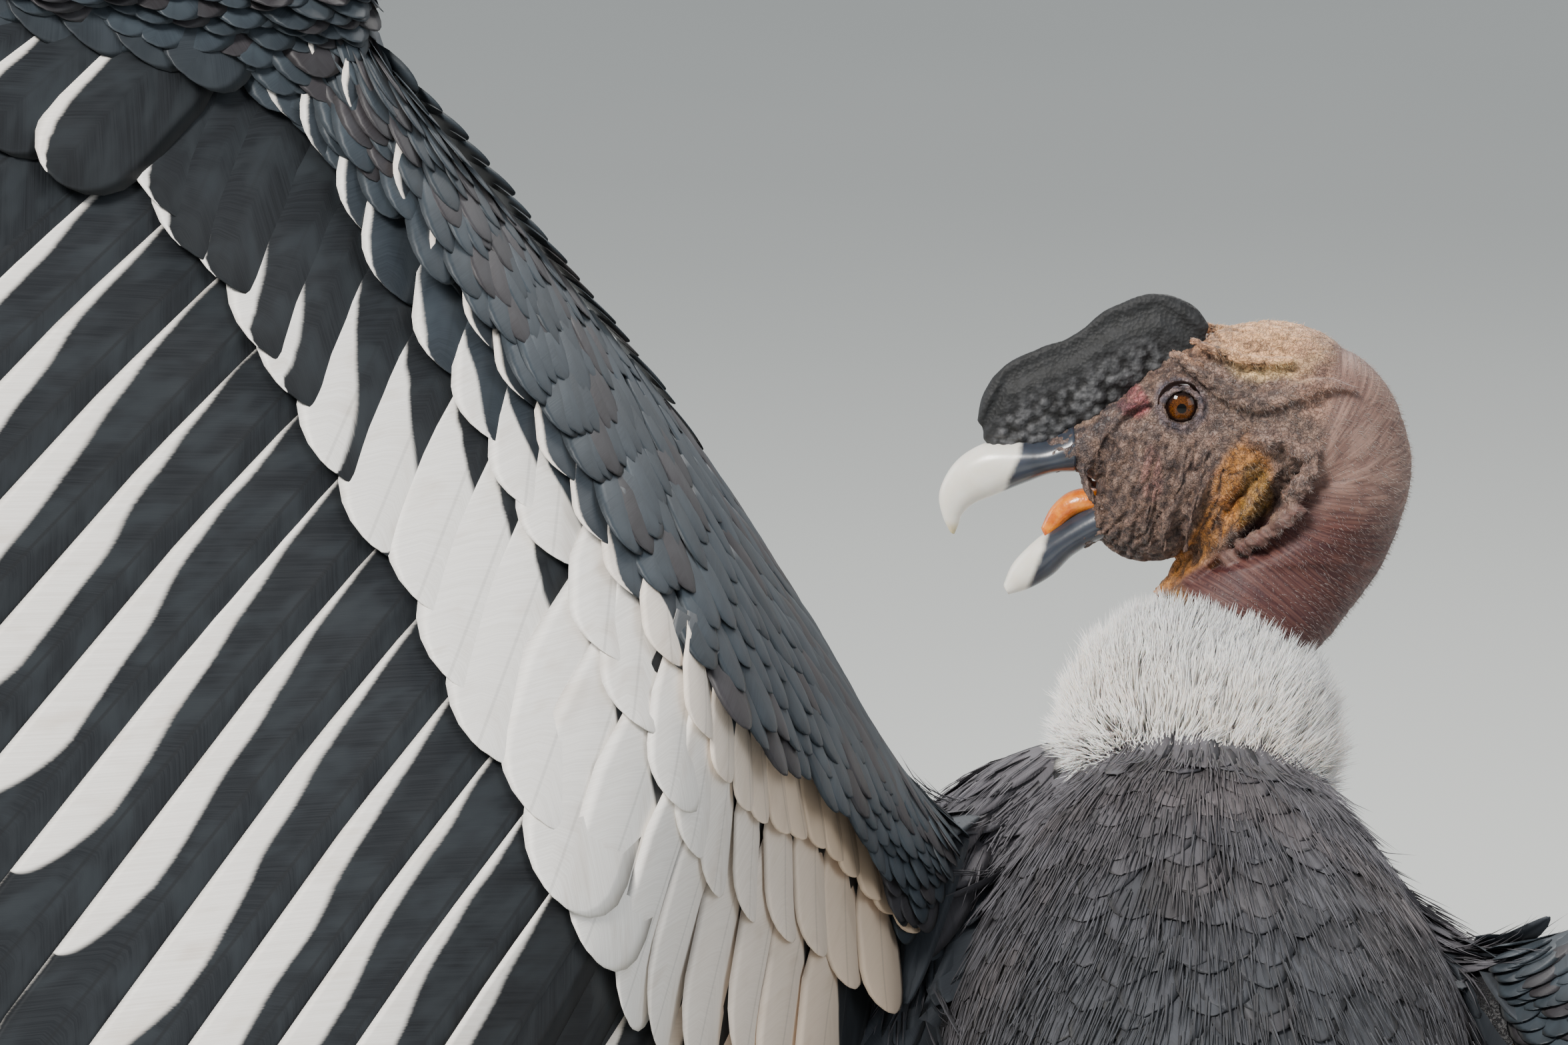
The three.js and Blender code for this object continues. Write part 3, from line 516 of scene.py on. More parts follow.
trunk = limb(TRUNK, TRUNK_UP, -COAT_DEPTH)
arms = {arm["side"]: loft(arm_stations(arm), -ARM_DEPTH) for arm in (LEFT_ARM, RIGHT_ARM)}
saddles = {
    -1: limb([(-10, 140, 652, 36, 34), (-60, 135, 648, 33, 34), (-100, 105, 626, 31, 32),
              (-125, 62, 604, 26, 28), (-136, 16, 588, 16, 18)], TRUNK_UP),
    1: limb([(15, 132, 636, 34, 34), (58, 120, 604, 32, 33), (100, 104, 577, 30, 32),
             (130, 62, 566, 24, 26), (142, 16, 552, 14, 16)], TRUNK_UP),
}
ruff_core = limb([
    (*shifted(RUFF_FOOT, RUFF_AXIS, -22), 40, 40), (*between(RUFF_FOOT, RUFF_TOP, 0.1), 50, 50),
    (*between(RUFF_FOOT, RUFF_TOP, 0.45), 51, 51), (*between(RUFF_FOOT, RUFF_TOP, 0.8), 45, 45),
    (*shifted(RUFF_TOP, RUFF_AXIS, 8), 32, 32),
], unit([0, -1, 0.3]))
TAIL_ROOT = np.array([0, -236, 400])
TAIL_WAY = unit([0, -0.82, -0.57])
TAIL_FACE = unit([0, -0.57, 0.82])
tail_stations = []
for far, wide, half in ((-40, 24, 20), (0, 36, 18), (36, 30, 11), (52, 16, 4)):
    middle = shifted(TAIL_ROOT, TAIL_WAY, far)
    tail_stations.append((middle - [wide, 0, 0], middle + [wide, 0, 0], half))
tail_root = loft(tail_stations)
body_forms = [tube(trunk, 40, 40), tube(ruff_core, 36, 12), tube(tail_root, 24, 8)]
body_forms += [tube(arms[way], 28, 60) for way in (-1, 1)]
body_forms += [tube(saddles[way], 28, 24) for way in (-1, 1)]
body_forms += [tube(thigh(way, -4), 24, 20) for way in (-1, 1)]
body_skin = fused("body", body_forms, BODY_VOXEL, 2)

bm = bmesh.new()
bm.from_mesh(head_skin)
head_count = len(bm.verts)
bm.from_mesh(body_skin)
skin_mesh = mesh_from(bm, "skin")
skin_mesh.update()


def read_spots(mesh, field="vertices", what="co"):
    data = np.zeros(len(getattr(mesh, field)) * 3, np.float32)
    getattr(mesh, field).foreach_get(what, data)
    return data.reshape(-1, 3).astype(float)


def drawn_spots(mesh):
    return read_spots(mesh) * 1000 - SHIFT


def move_to(mesh, spots):
    mesh.vertices.foreach_set("co", place(spots).astype(np.float32).ravel())


def wobble(points, size, seed=0.0):
    """Smooth noise of about -1 to 1 at points in millimetres, with features of that size."""
    return np.array([noise.noise(Vector(p) / size + Vector((seed, seed, seed))) for p in points])


drawn = drawn_spots(skin_mesh)
skin_normals = read_spots(skin_mesh, "vertex_normals", "vector")
forward = EYE_MID[0] - drawn[:, 0]
upward = drawn[:, 2] - EYE_MID[2]
outward = np.abs(drawn[:, 1] - EYE_MID[1])
on_head = np.arange(len(drawn)) < head_count

# how far along the neck's middle line a point lies, and how far round it
neck_surface = loft(profile(NECK))
line_steps = np.linspace(0, 1, 240)
neck_line = (neck_surface(line_steps, 0.0) + neck_surface(line_steps, math.pi)) / 2
line_length = np.concatenate([[0], np.cumsum(np.linalg.norm(np.diff(neck_line, axis=0), axis=1))])
near_step = np.zeros(len(drawn), int)
for start in range(0, head_count, 4000):
    gaps = drawn[start:start + 4000, None, :] - neck_line[None, ::4, :]
    near_step[start:start + 4000] = np.argmin((gaps ** 2).sum(2), axis=1) * 4
heading = unit(np.gradient(neck_line, axis=0))
along_neck = line_length[near_step] + ((drawn - neck_line[near_step]) * heading[near_step]).sum(1)
away = drawn - neck_line[near_step]
around_neck = np.degrees(np.arctan2(away[:, 1], away[:, 0] + away[:, 2]))

large = wobble(drawn, 14, 3.1) * on_head
small = wobble(drawn, 5, 8.7) * on_head
front_of_neck = np.interp(upward, [-150, -84, -72, -56, -43, -30, 30], [30, 8, 2, -18, -36, -52, -66])
neckness = soft(forward - front_of_neck + 3 * large, 3, -5) * on_head
faceness = (1 - neckness) * on_head


def creases(points, size, narrow, seed=0.0):
    """1 along thin winding lines that part the skin into cells of about that size, 0 between."""
    return np.exp(-(wobble(points, size, seed) / narrow) ** 2) * on_head


cheek = soft(upward, -6, -14) * soft(forward, -22, -14) * soft(forward, 40, 32) * (outward > 6)
sideways = outward * 0.3
along_fold = (upward - 0.3 * forward) * 0.24
across_fold = np.stack([forward + 0.3 * upward + 2 * large, along_fold, sideways], axis=1)
arcs = np.hypot(forward + 6, upward - 4) + 2 * large
along_arc = np.degrees(np.arctan2(upward - 4, forward + 6)) * 0.08
across_arc = np.stack([arcs, along_arc, sideways], axis=1)
above_eye = soft(upward, 8, 14) * soft(forward, -24, -12) * soft(forward, 40, 26)
fold_lines = creases(across_fold, 3.6, 0.17, 2.0) * cheek
fine_folds = creases(across_fold, 2.0, 0.2, 12.0) * cheek
arc_lines = creases(across_arc, 2.6, 0.2, 5.0) * above_eye
leather_lines = creases(drawn, 5.2, 0.11, 31.0)
small_lines = creases(drawn, 2.7, 0.13, 47.0)
around = np.stack([along_neck + 3 * large, around_neck * 0.09, np.zeros(len(drawn))], axis=1)
neck_lines = creases(around, 3.2, 0.2, 9.0)
hairy = soft(forward, -30, -48) * soft(upward, -30, -10)
face_lines = 1.5 * fold_lines + 0.6 * fine_folds + 0.8 * arc_lines
face_lines += (1 - 0.5 * hairy) * (0.8 * leather_lines * (1 - 0.5 * cheek) + 0.4 * small_lines)
depth = faceness * (0.35 * small - face_lines) + neckness * (0.3 * large - 0.35 * neck_lines)
drawn = drawn + skin_normals * depth[:, None]
move_to(skin_mesh, drawn)


def blob(forward_mid, up_mid, forward_reach, up_reach, ragged=0.18):
    far = np.hypot((forward - forward_mid) / forward_reach, (upward - up_mid) / up_reach)
    return soft(far + ragged * large + 0.1 * small, 1.15, 0.75)


paint = np.tile(tint(108, 90, 82), (len(drawn), 1))


def coat_over(colour, mask):
    global paint
    mask = np.clip(mask, 0, 1)[:, None]
    paint = paint * (1 - mask) + np.array(tint(*colour)) * mask


coat_over((98, 86, 82), soft(large, -0.1, 0.5) * 0.6)
coat_over((150, 118, 104), soft(small + large, 0.1, 0.7) * 0.55)
# The crown's pale orange is partly the skin's own colour and partly painted highlight of sunlight from above.
coat_over((255, 214, 150), blob(-38, 28, 26, 13))
coat_over((240, 176, 128), blob(-28, 33, 38, 12) * 0.7)
coat_over((172, 128, 108), blob(-66, 18, 22, 20) * 0.6)
coat_over((168, 72, 84), blob(19, 4, 7, 6) * 0.85)
coat_over((160, 88, 88), blob(12, -24, 5, 12) * 0.4)
from_eye = np.hypot(forward, upward - EYE_RISE)
coat_over((92, 88, 100), soft(from_eye, 12, 9.5))
coat_over((34, 28, 30), soft(from_eye, 7.4, 6.6))
coat_over((86, 82, 86), soft(forward + 0.4 * upward, 16, 30) * soft(upward, -40, -26) * 0.85)
coat_over((58, 57, 61), soft(forward + 0.5 * upward, 18, 34) * soft(forward, 14, 26) * 0.92)
coat_over((78, 70, 70), soft(upward, -46, -58) * soft(forward, -14, 0) * 0.6)
coat_over((190, 122, 34), blob(-27, -28, 13, 20, 0.25) * 0.95)
coat_over((146, 112, 22), blob(-31, -33, 8, 15, 0.3) * 0.7)
coat_over((142, 114, 102), neckness * 0.9)
redness = neckness * soft(0.55 * upward - 0.25 * forward + 6 * large, 8, -14)
coat_over((66, 26, 23), redness)
coat_over((56, 20, 26), redness * soft(small + large, -0.1, 0.5) * 0.7)
coat_over((100, 56, 46), redness * soft(wobble(drawn, 9, 40.0), 0.1, 0.6) * on_head * 0.45)
under_bill = soft(np.hypot((forward - 4) / 12, (upward + 92) / 20), 1.2, 0.5)
coat_over((198, 148, 60), under_bill * neckness * 0.9)
throat = soft(outward, 26, 20) * soft(forward, -26, -20) * soft(forward, 16, 8) * soft(upward, -28, -36)
gap_way = forward + 0.33 * upward
coat_over((204, 132, 34), throat * soft(gap_way, -18, -22) * soft(upward, -84, -80) * (outward < 8))
on_beads = np.zeros(len(drawn))
for forward_mid, up_mid, side_mid, radius in BEADS:
    far = np.sqrt((forward - forward_mid) ** 2 + (upward - up_mid) ** 2 + (outward - side_mid) ** 2)
    on_beads = np.maximum(on_beads, soft(far, radius * 1.5, radius * 0.9))
coat_over((134, 108, 98), on_beads * 0.9)
on_wattle = np.zeros(len(drawn))
here = np.stack([forward, upward, outward], axis=1)
picked = np.flatnonzero(on_head & (upward < -20) & (upward > -90) & (forward > -30) & (forward < 16))
for points in (WATTLE, THROAT_FOLD):
    spots = np.array([p[:3] for p in points], float)
    wattle_line = curve_through(spots)(np.linspace(0, 1, 40))
    near = np.full(len(drawn), 1e9)
    near[picked] = np.linalg.norm(here[picked, None] - wattle_line[None], axis=2).min(1)
    on_wattle = np.maximum(on_wattle, soft(near, 10, 6.5))
coat_over((208, 134, 30), on_wattle * soft(upward, -22, -34))
coat_over((150, 84, 30), on_wattle * soft(small, 0.0, 0.5) * 0.6)
for slit_forward, slit_up in ((37, -3), (40, -4), (43, -5), (46, -6.5), (49, -8)):
    coat_over((150, 128, 112), blob(slit_forward, slit_up, 4.4, 3.4, 0) * 0.7)
# Painted shade: the nostril slits are painted near-black, standing in for the shade inside openings that the
# skin does not have.
for slit_forward, slit_up in ((39, -4), (42, -5), (45, -6.4), (48, -8)):
    coat_over((14, 11, 12), blob(slit_forward, slit_up, 2.4, 1.3, 0))
# Painted shade: the creases and folds of face and neck are painted darker, as shade in their hollows.
painted_crease_shade = np.clip(face_lines, 0, 1.2) * faceness
coat_over((42, 31, 31), painted_crease_shade * 0.72)
coat_over((58, 28, 30), neck_lines * neckness * 0.5)
UNDER_RUFF = 62
from_ruff = np.linalg.norm(drawn - (RUFF_FOOT + RUFF_TOP) / 2, axis=1)
coat_over((232, 228, 222), 1.0 * (~on_head & (from_ruff < UNDER_RUFF)))
coat_over((26, 26, 29), 1.0 * (~on_head & (from_ruff >= UNDER_RUFF)))


def store(mesh, name, kind, values):
    layer = mesh.attributes.new(name, kind, "POINT")
    if kind == "FLOAT_COLOR":
        values = np.hstack([values, np.ones((len(values), 1))])
        layer.data.foreach_set("color", values.astype(np.float32).ravel())
    else:
        layer.data.foreach_set("vector", values.astype(np.float32).ravel())


store(skin_mesh, "paint", "FLOAT_COLOR", paint)
store(skin_mesh, "bare", "FLOAT_VECTOR", np.repeat(on_head[:, None] * 1.0, 3, axis=1))
lie_values = np.stack([along_neck, around_neck * 0.6, neckness * 100], axis=1) / 100
store(skin_mesh, "lie", "FLOAT_VECTOR", lie_values)
hide, hide_shader = new_material("bare skin", 0.58, Subsurface_Weight=0.08, Subsurface_Scale=0.004)
hide_shader.inputs["Subsurface Radius"].default_value = (1.0, 0.35, 0.2)
spot = own_place(hide)
down_neck, round_neck, neck_share = parts_of(hide, attribute(hide, "lie"))
wrap = step(hide, "ShaderNodeCombineXYZ",
            inputs={0: times(hide, down_neck, 95.0), 1: times(hide, round_neck, 5.0), 2: 0.0})
streaks = grain(hide, wrap, 1.0, 4.0, 0.6)
pores = cells(hide, spot, 520)
leather = gap_to(hide, grain(hide, spot, 620, 2.0), 0.5)
mottle = grain(hide, spot, 260, 4.0)
base = attribute(hide, "paint", "Color")
dark = mixed(hide, eased(hide, mottle, 0.35, 0.7), mixed(hide, 0.42, base, tint(48, 34, 32)),
             mixed(hide, 0.16, base, tint(238, 190, 160)))
# Painted shade: the leather's crease lines, which the bump sinks, are painted darker as shade in them.
crease_shade_tone = mixed(hide, 0.6, dark, tint(52, 40, 38))
crease_shaded = mixed(hide, eased(hide, leather, 0.0, 0.05), crease_shade_tone, dark)
lined = mixed(hide, eased(hide, streaks, 0.38, 0.62), mixed(hide, 0.26, base, tint(52, 22, 26)),
              mixed(hide, 0.1, base, tint(204, 150, 130)))
bare = attribute(hide, "bare", "Fac")
join(hide, mixed(hide, bare, base, mixed(hide, neck_share, crease_shaded, lined)),
     hide_shader.inputs["Base Color"])
face_height = sums(hide, "ADD", eased(hide, leather, 0.0, 0.08), times(hide, pores, 0.35))
neck_height = sums(hide, "ADD", streaks, times(hide, mottle, 0.4))
height = step(hide, "ShaderNodeMix", 0, {0: neck_share, 2: face_height, 3: neck_height})
relief(hide, hide_shader, height, 0.6, 0.7)
skin = stand_in_scene("skin", skin_mesh, hide)
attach(skin, "root")
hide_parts("torso", "neck", "head", "left_thigh", "right_thigh")

# The eyes: wet globes of clear and coloured tissue, held in the skull behind the rims of the
# lids. Each has a round dark pupil in a brown iris with finer amber rays.
iris, iris_shader = new_material("wet eye", 0.3, Coat_Weight=0.5, Coat_Roughness=0.03,
                                 Specular_IOR_Level=0.0)
glance = attribute(iris, "glance")
off_pupil = parts_of(iris, glance)[0]
rays = grain(iris, glance, 14.0, 3.0)
amber = mixed(iris, eased(iris, rays, 0.35, 0.65), tint(44, 22, 8), tint(104, 58, 18))
ringed = mixed(iris, eased(iris, off_pupil, 0.42, 0.6), amber, tint(22, 12, 10))
join(iris, mixed(iris, eased(iris, off_pupil, 0.2, 0.235), tint(5, 4, 4), ringed),
     iris_shader.inputs["Base Color"])
for way, side_name in ((-1, "left"), (1, "right")):
    bm = bmesh.new()
    turn = Matrix.Rotation(math.pi / 2, 4, "X")
    bmesh.ops.create_uvsphere(bm, u_segments=48, v_segments=32, radius=EYE_RADIUS, matrix=turn)
    globe = np.array([v.co for v in bm.verts])
    eye_middle = np.array(head_point(0, EYE_RISE, way * EYE_SPREAD))
    for vert in bm.verts:
        vert.co = Vector(place(eye_middle + np.array(vert.co)))
    eye_mesh = mesh_from(bm, side_name + "_eyeball")
    from_axis = np.hypot(globe[:, 0], globe[:, 2]) / EYE_RADIUS + (globe[:, 1] * way < 0)
    bearing = np.arctan2(globe[:, 2], globe[:, 0])
    glances = np.stack([from_axis, np.cos(bearing), np.sin(bearing)], axis=1)
    store(eye_mesh, "glance", "FLOAT_VECTOR", glances)
    eyeball = stand_in_scene(side_name + "_eyeball", eye_mesh, iris)
    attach(eyeball, "root")
    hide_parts(side_name + "_eye")

# The comb: a stiff upright blade of thick skin that grows on the bill's root and the forehead.
# It is dark and warty on its sides and smooth along its rim.
COMB = [
    (83, -7, 82, -12, 0, 2.5), (80, 6, 78, -18, 0, 4.5), (71, 17, 70, -22, 0, 5.5), (57, 24, 56, -22, 0, 6),
    (44, 29, 43, -18, 0, 6), (28, 41, 27, -8, 0, 6), (8, 47, 7, 8, 0, 5.5), (-7, 41, -7, 14, 0, 5.5),
    (-13, 33, -12, 18, 0, 4),
]
comb_mesh = fused("comb", [tube(loft(profile(COMB)), 48, 60)], 0.9, 3)
comb_spots = drawn_spots(comb_mesh)
comb_normals = read_spots(comb_mesh, "vertex_normals", "vector")
comb_forward = EYE_MID[0] - comb_spots[:, 0]
comb_up = comb_spots[:, 2] - EYE_MID[2]
rim_line = np.interp(-comb_forward, [-83, -71, -57, -44, -28, -8, 11], [-7, 17, 24, 29, 41, 47, 34])
below_rim = rim_line - comb_up
warts = np.array([noise.voronoi(Vector(p) / 4.2)[0][0] for p in comb_spots])
wart_share = soft(below_rim, 12, 24)
comb_depth = wart_share * (1.1 - 3.0 * warts) + 0.3 * wobble(comb_spots, 6, 5.0)
comb_depth -= 1.6 * soft(below_rim, 0, 5) * soft(below_rim, 14, 7)
move_to(comb_mesh, comb_spots + comb_normals * comb_depth[:, None])
store(comb_mesh, "lie", "FLOAT_VECTOR", np.stack([wart_share, warts, below_rim / 30], axis=1))
wart_skin, wart_shader = new_material("comb skin", 0.68)
wartiness, off_wart, _ = parts_of(wart_skin, attribute(wart_skin, "lie"))
comb_place = own_place(wart_skin)
comb_mottle = grain(wart_skin, comb_place, 240, 4.0)
comb_patches = eased(wart_skin, comb_mottle, 0.3, 0.7)
rim_tone = mixed(wart_skin, comb_patches, tint(12, 13, 14), tint(30, 31, 33))
side_tone = mixed(wart_skin, comb_patches, tint(38, 39, 41), tint(84, 84, 86))
comb_base = mixed(wart_skin, wartiness, rim_tone, side_tone)
# Painted shade: the hollows between the warts are painted near-black, as shade in them.
wart_gap_shade = times(wart_skin, eased(wart_skin, off_wart, 0.4, 0.75), wartiness)
join(wart_skin, mixed(wart_skin, wart_gap_shade, comb_base, tint(14, 13, 14)), wart_shader.inputs["Base Color"])
comb_cells = cells(wart_skin, comb_place, 620)
relief(wart_skin, wart_shader, sums(wart_skin, "ADD", comb_cells, comb_mottle), 0.5, 0.7)
comb_piece = stand_in_scene("comb_blade", comb_mesh, wart_skin)
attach(comb_piece, "root")
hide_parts("comb")

# The bill: two horn sheaths that grow over bone, ivory at the hooked end and slate near the
# face, worn smooth. They stand open, and the tongue lies on the lower one.
UPPER_BILL = [
    (43, -8, 42, -28.5, 0, 12.5), (55, -14.5, 51, -29, 0, 11.5), (67, -15.5, 62, -33, 0, 10.5),
    (80, -17, 75, -38.5, 0, 9), (92, -25, 85, -43, 0, 7), (98.5, -38, 89, -47.5, 0, 5),
    (97, -48, 90.5, -52, 0, 3.5), (94, -54.5, 92, -55.5, 0, 1.5),
]
LOWER_BILL = [
    (26, -38, 22, -58, 0, 13), (34, -41, 29, -57, 0, 11.5), (50, -52, 42, -64, 0, 9.5),
    (60, -60, 51, -73, 0, 8), (68, -69, 61, -79, 0, 6), (71.5, -77.5, 69, -81.5, 0, 3),
]
horn, horn_shader = new_material("bill horn", 0.28, Coat_Weight=0.25, Coat_Roughness=0.2,
                                 Subsurface_Weight=0.15, Subsurface_Scale=0.003)
horn_dark, horn_tip, _ = parts_of(horn, attribute(horn, "lie"))
horn_place = own_place(horn)
horn_grain = grain(horn, horn_place, 130, 4.0)
ivory = mixed(horn, horn_grain, tint(238, 236, 228), tint(220, 212, 196))
tipped = mixed(horn, eased(horn, horn_tip, 0.55, 1.0), ivory, tint(196, 180, 134))
slate = mixed(horn, horn_grain, tint(66, 72, 84), tint(30, 32, 38))
dark_share = sums(horn, "ADD", horn_dark, times(horn, horn_grain, 0.3))
join(horn, mixed(horn, eased(horn, dark_share, 0.5, 0.85), tipped, slate), horn_shader.inputs["Base Color"])
relief(horn, horn_shader, grain(horn, horn_place, 420, 3.0), 0.12, 0.5)


def horn_piece(name, rows, sides, steps, ivory_from, tip_from, node):
    mesh = tube(loft(profile(rows)), sides, steps)
    spots = drawn_spots(mesh)
    ahead = EYE_MID[0] - spots[:, 0]
    rise = spots[:, 2] - EYE_MID[2]
    darkness = soft(ahead + 0.35 * (rise + 30), ivory_from + 5, ivory_from - 9)
    point = soft(-rise, *tip_from)
    store(mesh, "lie", "FLOAT_VECTOR", np.stack([darkness, point, ahead / 100], axis=1))
    piece = stand_in_scene(name, mesh, horn)
    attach(piece, "root")
    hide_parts(node)


horn_piece("upper_sheath", UPPER_BILL, 40, 60, 72, (36, 58), "upper_bill")
horn_piece("lower_sheath", LOWER_BILL, 36, 44, 47, (70, 88), "lower_bill")

# The tongue: a soft wet orange pad of muscle under rough skin. It is rooted in the throat and
# lies on the lower bill.
TONGUE = [
    (30, -37, 30, -46, 0, 6), (37, -36, 36, -46, 0, 6.4), (45, -38, 42, -47.5, 0, 6),
    (52, -44.5, 48, -53, 0, 4.6), (56, -53, 53.5, -57.5, 0, 2.6),
]
wet, wet_shader = new_material("tongue flesh", 0.3, Coat_Weight=0.4, Coat_Roughness=0.1,
                               Subsurface_Weight=0.2, Subsurface_Scale=0.003)
wet_tone = grain(wet, own_place(wet), 200, 3.0)
join(wet, mixed(wet, eased(wet, wet_tone, 0.3, 0.7), tint(196, 92, 18), tint(236, 140, 36)),
     wet_shader.inputs["Base Color"])
relief(wet, wet_shader, cells(wet, own_place(wet), 900), 0.25, 0.5)
tongue_piece = stand_in_scene("tongue_flesh", tube(loft(profile(TONGUE)), 24, 24), wet)
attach(tongue_piece, "root")
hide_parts("tongue")

# Feather stuff: each feather is a thin closed blade with a raised shaft, cupped and drooping.
# Blades of one tract are one mesh; mark holds where its pale web starts, how wide it is and its share of
# cream.
chance = np.random.default_rng(7)


def column(batch, key, default):
    return np.broadcast_to(np.asarray(batch.get(key, default), float), (len(batch["root"]),))[:, None]


def bake_cells(count):
    """A place of its own on the bake map for each of a few large blades."""
    across = max(1, math.ceil(math.sqrt(count * 3.0)))
    size_u, size_v = 1 / across, 1 / math.ceil(count / across)
    number = np.arange(count)
    corners = np.stack([(number % across) * size_u, (number // across) * size_v], axis=1)
    return corners + 0.001, size_u - 0.002, size_v - 0.002


PATCH = 0.003
PLAIN = (0.0, -0.3, 0.0)
NO_DARK_TIP = 1.4


def many(name, batch, local, quads, ends, plan):
    """One mesh of many copies of a small closed form, given in each copy's own x, y and z."""
    x, y, z = (np.broadcast_to(part, local[1].shape) for part in local)
    count, each = x.shape
    along = unit(batch["along"])
    flat_across = flat_on(batch["out"], along)
    flat_lift = towards(unit(np.cross(flat_across, along)), batch["face"])
    turn = column(batch, "turn", 0.0)
    across = flat_across * np.cos(turn) + flat_lift * np.sin(turn)
    lift = flat_lift * np.cos(turn) - flat_across * np.sin(turn)
    spots = (batch["root"][:, None] + along[:, None] * y[..., None] + across[:, None] * x[..., None]
             + lift[:, None] * z[..., None])
    mirrored = (np.cross(across, along) * lift).sum(1) < 0
    loops = []
    for faces in (np.array(quads), np.array(ends)):
        loops.append(np.where(mirrored[:, None, None], faces[None, :, ::-1], faces[None])
                     + np.arange(count)[:, None, None] * each)
    corner = np.concatenate([part.ravel() for part in loops]).astype(np.int32)
    sizes = np.concatenate([np.full(count * len(quads), 4), np.full(count * len(ends), 3)])
    mesh = bpy.data.meshes.new(name)
    mesh.vertices.add(count * each)
    mesh.vertices.foreach_set("co", place(spots.reshape(-1, 3)).astype(np.float32).ravel())
    mesh.loops.add(len(corner))
    mesh.loops.foreach_set("vertex_index", corner)
    mesh.polygons.add(len(sizes))
    mesh.polygons.foreach_set("loop_start", (np.cumsum(sizes) - sizes).astype(np.int32))
    mesh.update(calc_edges=True)
    mesh.validate()
    plan_u, plan_v = (np.broadcast_to(part, (count, each)) for part in plan)
    corners, size_u, size_v = (batch["flat"], PATCH, PATCH) if "flat" in batch else bake_cells(count)
    for layer_name, (uu, vv) in {
        "Feather": (plan_u, plan_v),
        "OFBake": (corners[:, :1] + plan_u * size_u, corners[:, 1:] + plan_v * size_v),
    }.items():
        layer = mesh.uv_layers.new(name=layer_name)
        pairs = np.stack([uu, vv], axis=-1).reshape(-1, 2)[corner]
        layer.data.foreach_set("uv", pairs.astype(np.float32).ravel())
    luck = np.broadcast_to(column(batch, "luck", 0.5) * 100, (count, each))
    barb = np.stack([y - 1.15 * np.abs(x), x, luck], axis=-1)
    store(mesh, "barb", "FLOAT_VECTOR", barb.reshape(-1, 3) / 100)
    mark = np.broadcast_to(np.asarray(batch.get("mark", PLAIN), float), (count, 3))
    store(mesh, "mark", "FLOAT_VECTOR", np.repeat(mark, each, axis=0))
    store(mesh, "hue", "FLOAT_COLOR", np.repeat(np.asarray(batch["hue"], float), each, axis=0))
    layer = mesh.attributes.new("tip_dark", "FLOAT", "POINT")
    tips = np.broadcast_to(np.asarray(batch.get("tip_dark", NO_DARK_TIP), float), (count,))
    layer.data.foreach_set("value", np.repeat(tips, each).astype(np.float32))
    return mesh


def rounded(start, low, peak):
    """Widths along a blade: narrow root, full middle, round end from start on."""
    tip_rows = start + (1 - start) * np.array([0.35, 0.62, 0.82, 0.95, 1])
    rows = np.concatenate([np.linspace(0, start, 4), tip_rows])
    swell = np.interp(rows, [0, peak, 1], [low, 1, 0.96])
    bend = np.sqrt(np.maximum(1 - (np.clip(rows - start, 0, 1) / (1 - start)) ** 2, 0.02))
    return rows, swell * bend


def blades(name, batch, shape, columns, shaft, fray=0.0):
    """Many thin cupped vanes. shape is rows along the blade and their widths."""
    v, share = (np.asarray(part, float) for part in shape)
    u = np.asarray(columns, float)
    wide = len(u)
    under = len(v) * wide
    all_v = np.concatenate([np.repeat(v, wide), v])
    all_u = np.concatenate([np.tile(u, len(v)), np.zeros(len(v))])
    all_share = np.concatenate([np.repeat(share, wide), share])
    below = np.arange(len(all_v)) >= under
    length = column(batch, "length", 30)
    half = np.where(all_u > 0, column(batch, "outer", 10), column(batch, "inner", 10))
    x = half * all_share * all_u
    x = x + column(batch, "sweep", 0.0) * all_v ** 2
    jag = chance.uniform(-1, 0, (len(length), wide))
    jag = np.hstack([np.tile(jag, (1, len(v))), np.zeros((len(length), len(v)))])
    y = length * all_v + fray * jag * all_v ** 8
    z = -column(batch, "cup", 1.0) * all_u ** 2 * all_share - column(batch, "droop", 1.0) * all_v ** 2
    ridge = shaft * np.exp(-(all_u / 0.05) ** 2) * (1 - 0.8 * all_v)
    z = z + ridge - below * column(batch, "thickness", 0.5)
    quads, ends = [], []
    for r in range(len(v) - 1):
        quads += [(r * wide + c, r * wide + c + 1, (r + 1) * wide + c + 1, (r + 1) * wide + c)
                  for c in range(wide - 1)]
        quads.append((r * wide, (r + 1) * wide, under + r + 1, under + r))
        quads.append((r * wide + wide - 1, under + r, under + r + 1, (r + 1) * wide + wide - 1))
    last = under - wide
    ends += [(c + 1, c, under) for c in range(wide - 1)]
    ends += [(last + c, last + c + 1, under + len(v) - 1) for c in range(wide - 1)]
    return many(name, batch, (x, y, z), quads, ends, ((1 - all_u) / 2, all_v))


def needles(name, batch):
    """Many thin three-sided barbs that bend towards the body as they go."""
    across = np.array([-1, 1, 0, -0.75, 0.75, 0, 0])
    above = np.array([0, 0, 0.8, 0, 0, 0.6, 0])
    v = np.array([0, 0, 0, 0.5, 0.5, 0.5, 1])
    half = column(batch, "outer", 0.5)
    y = column(batch, "length", 15) * v
    x = half * across + column(batch, "sweep", 0.0) * v ** 2
    z = half * above - column(batch, "droop", 1.0) * v ** 2
    quads = [(1, 0, 3, 4), (2, 1, 4, 5), (0, 2, 5, 3)]
    ends = [(0, 1, 2), (4, 3, 6), (5, 4, 6), (3, 5, 6)]
    return many(name, batch, (x, y, z), quads, ends, ((across + 1) / 2, v))


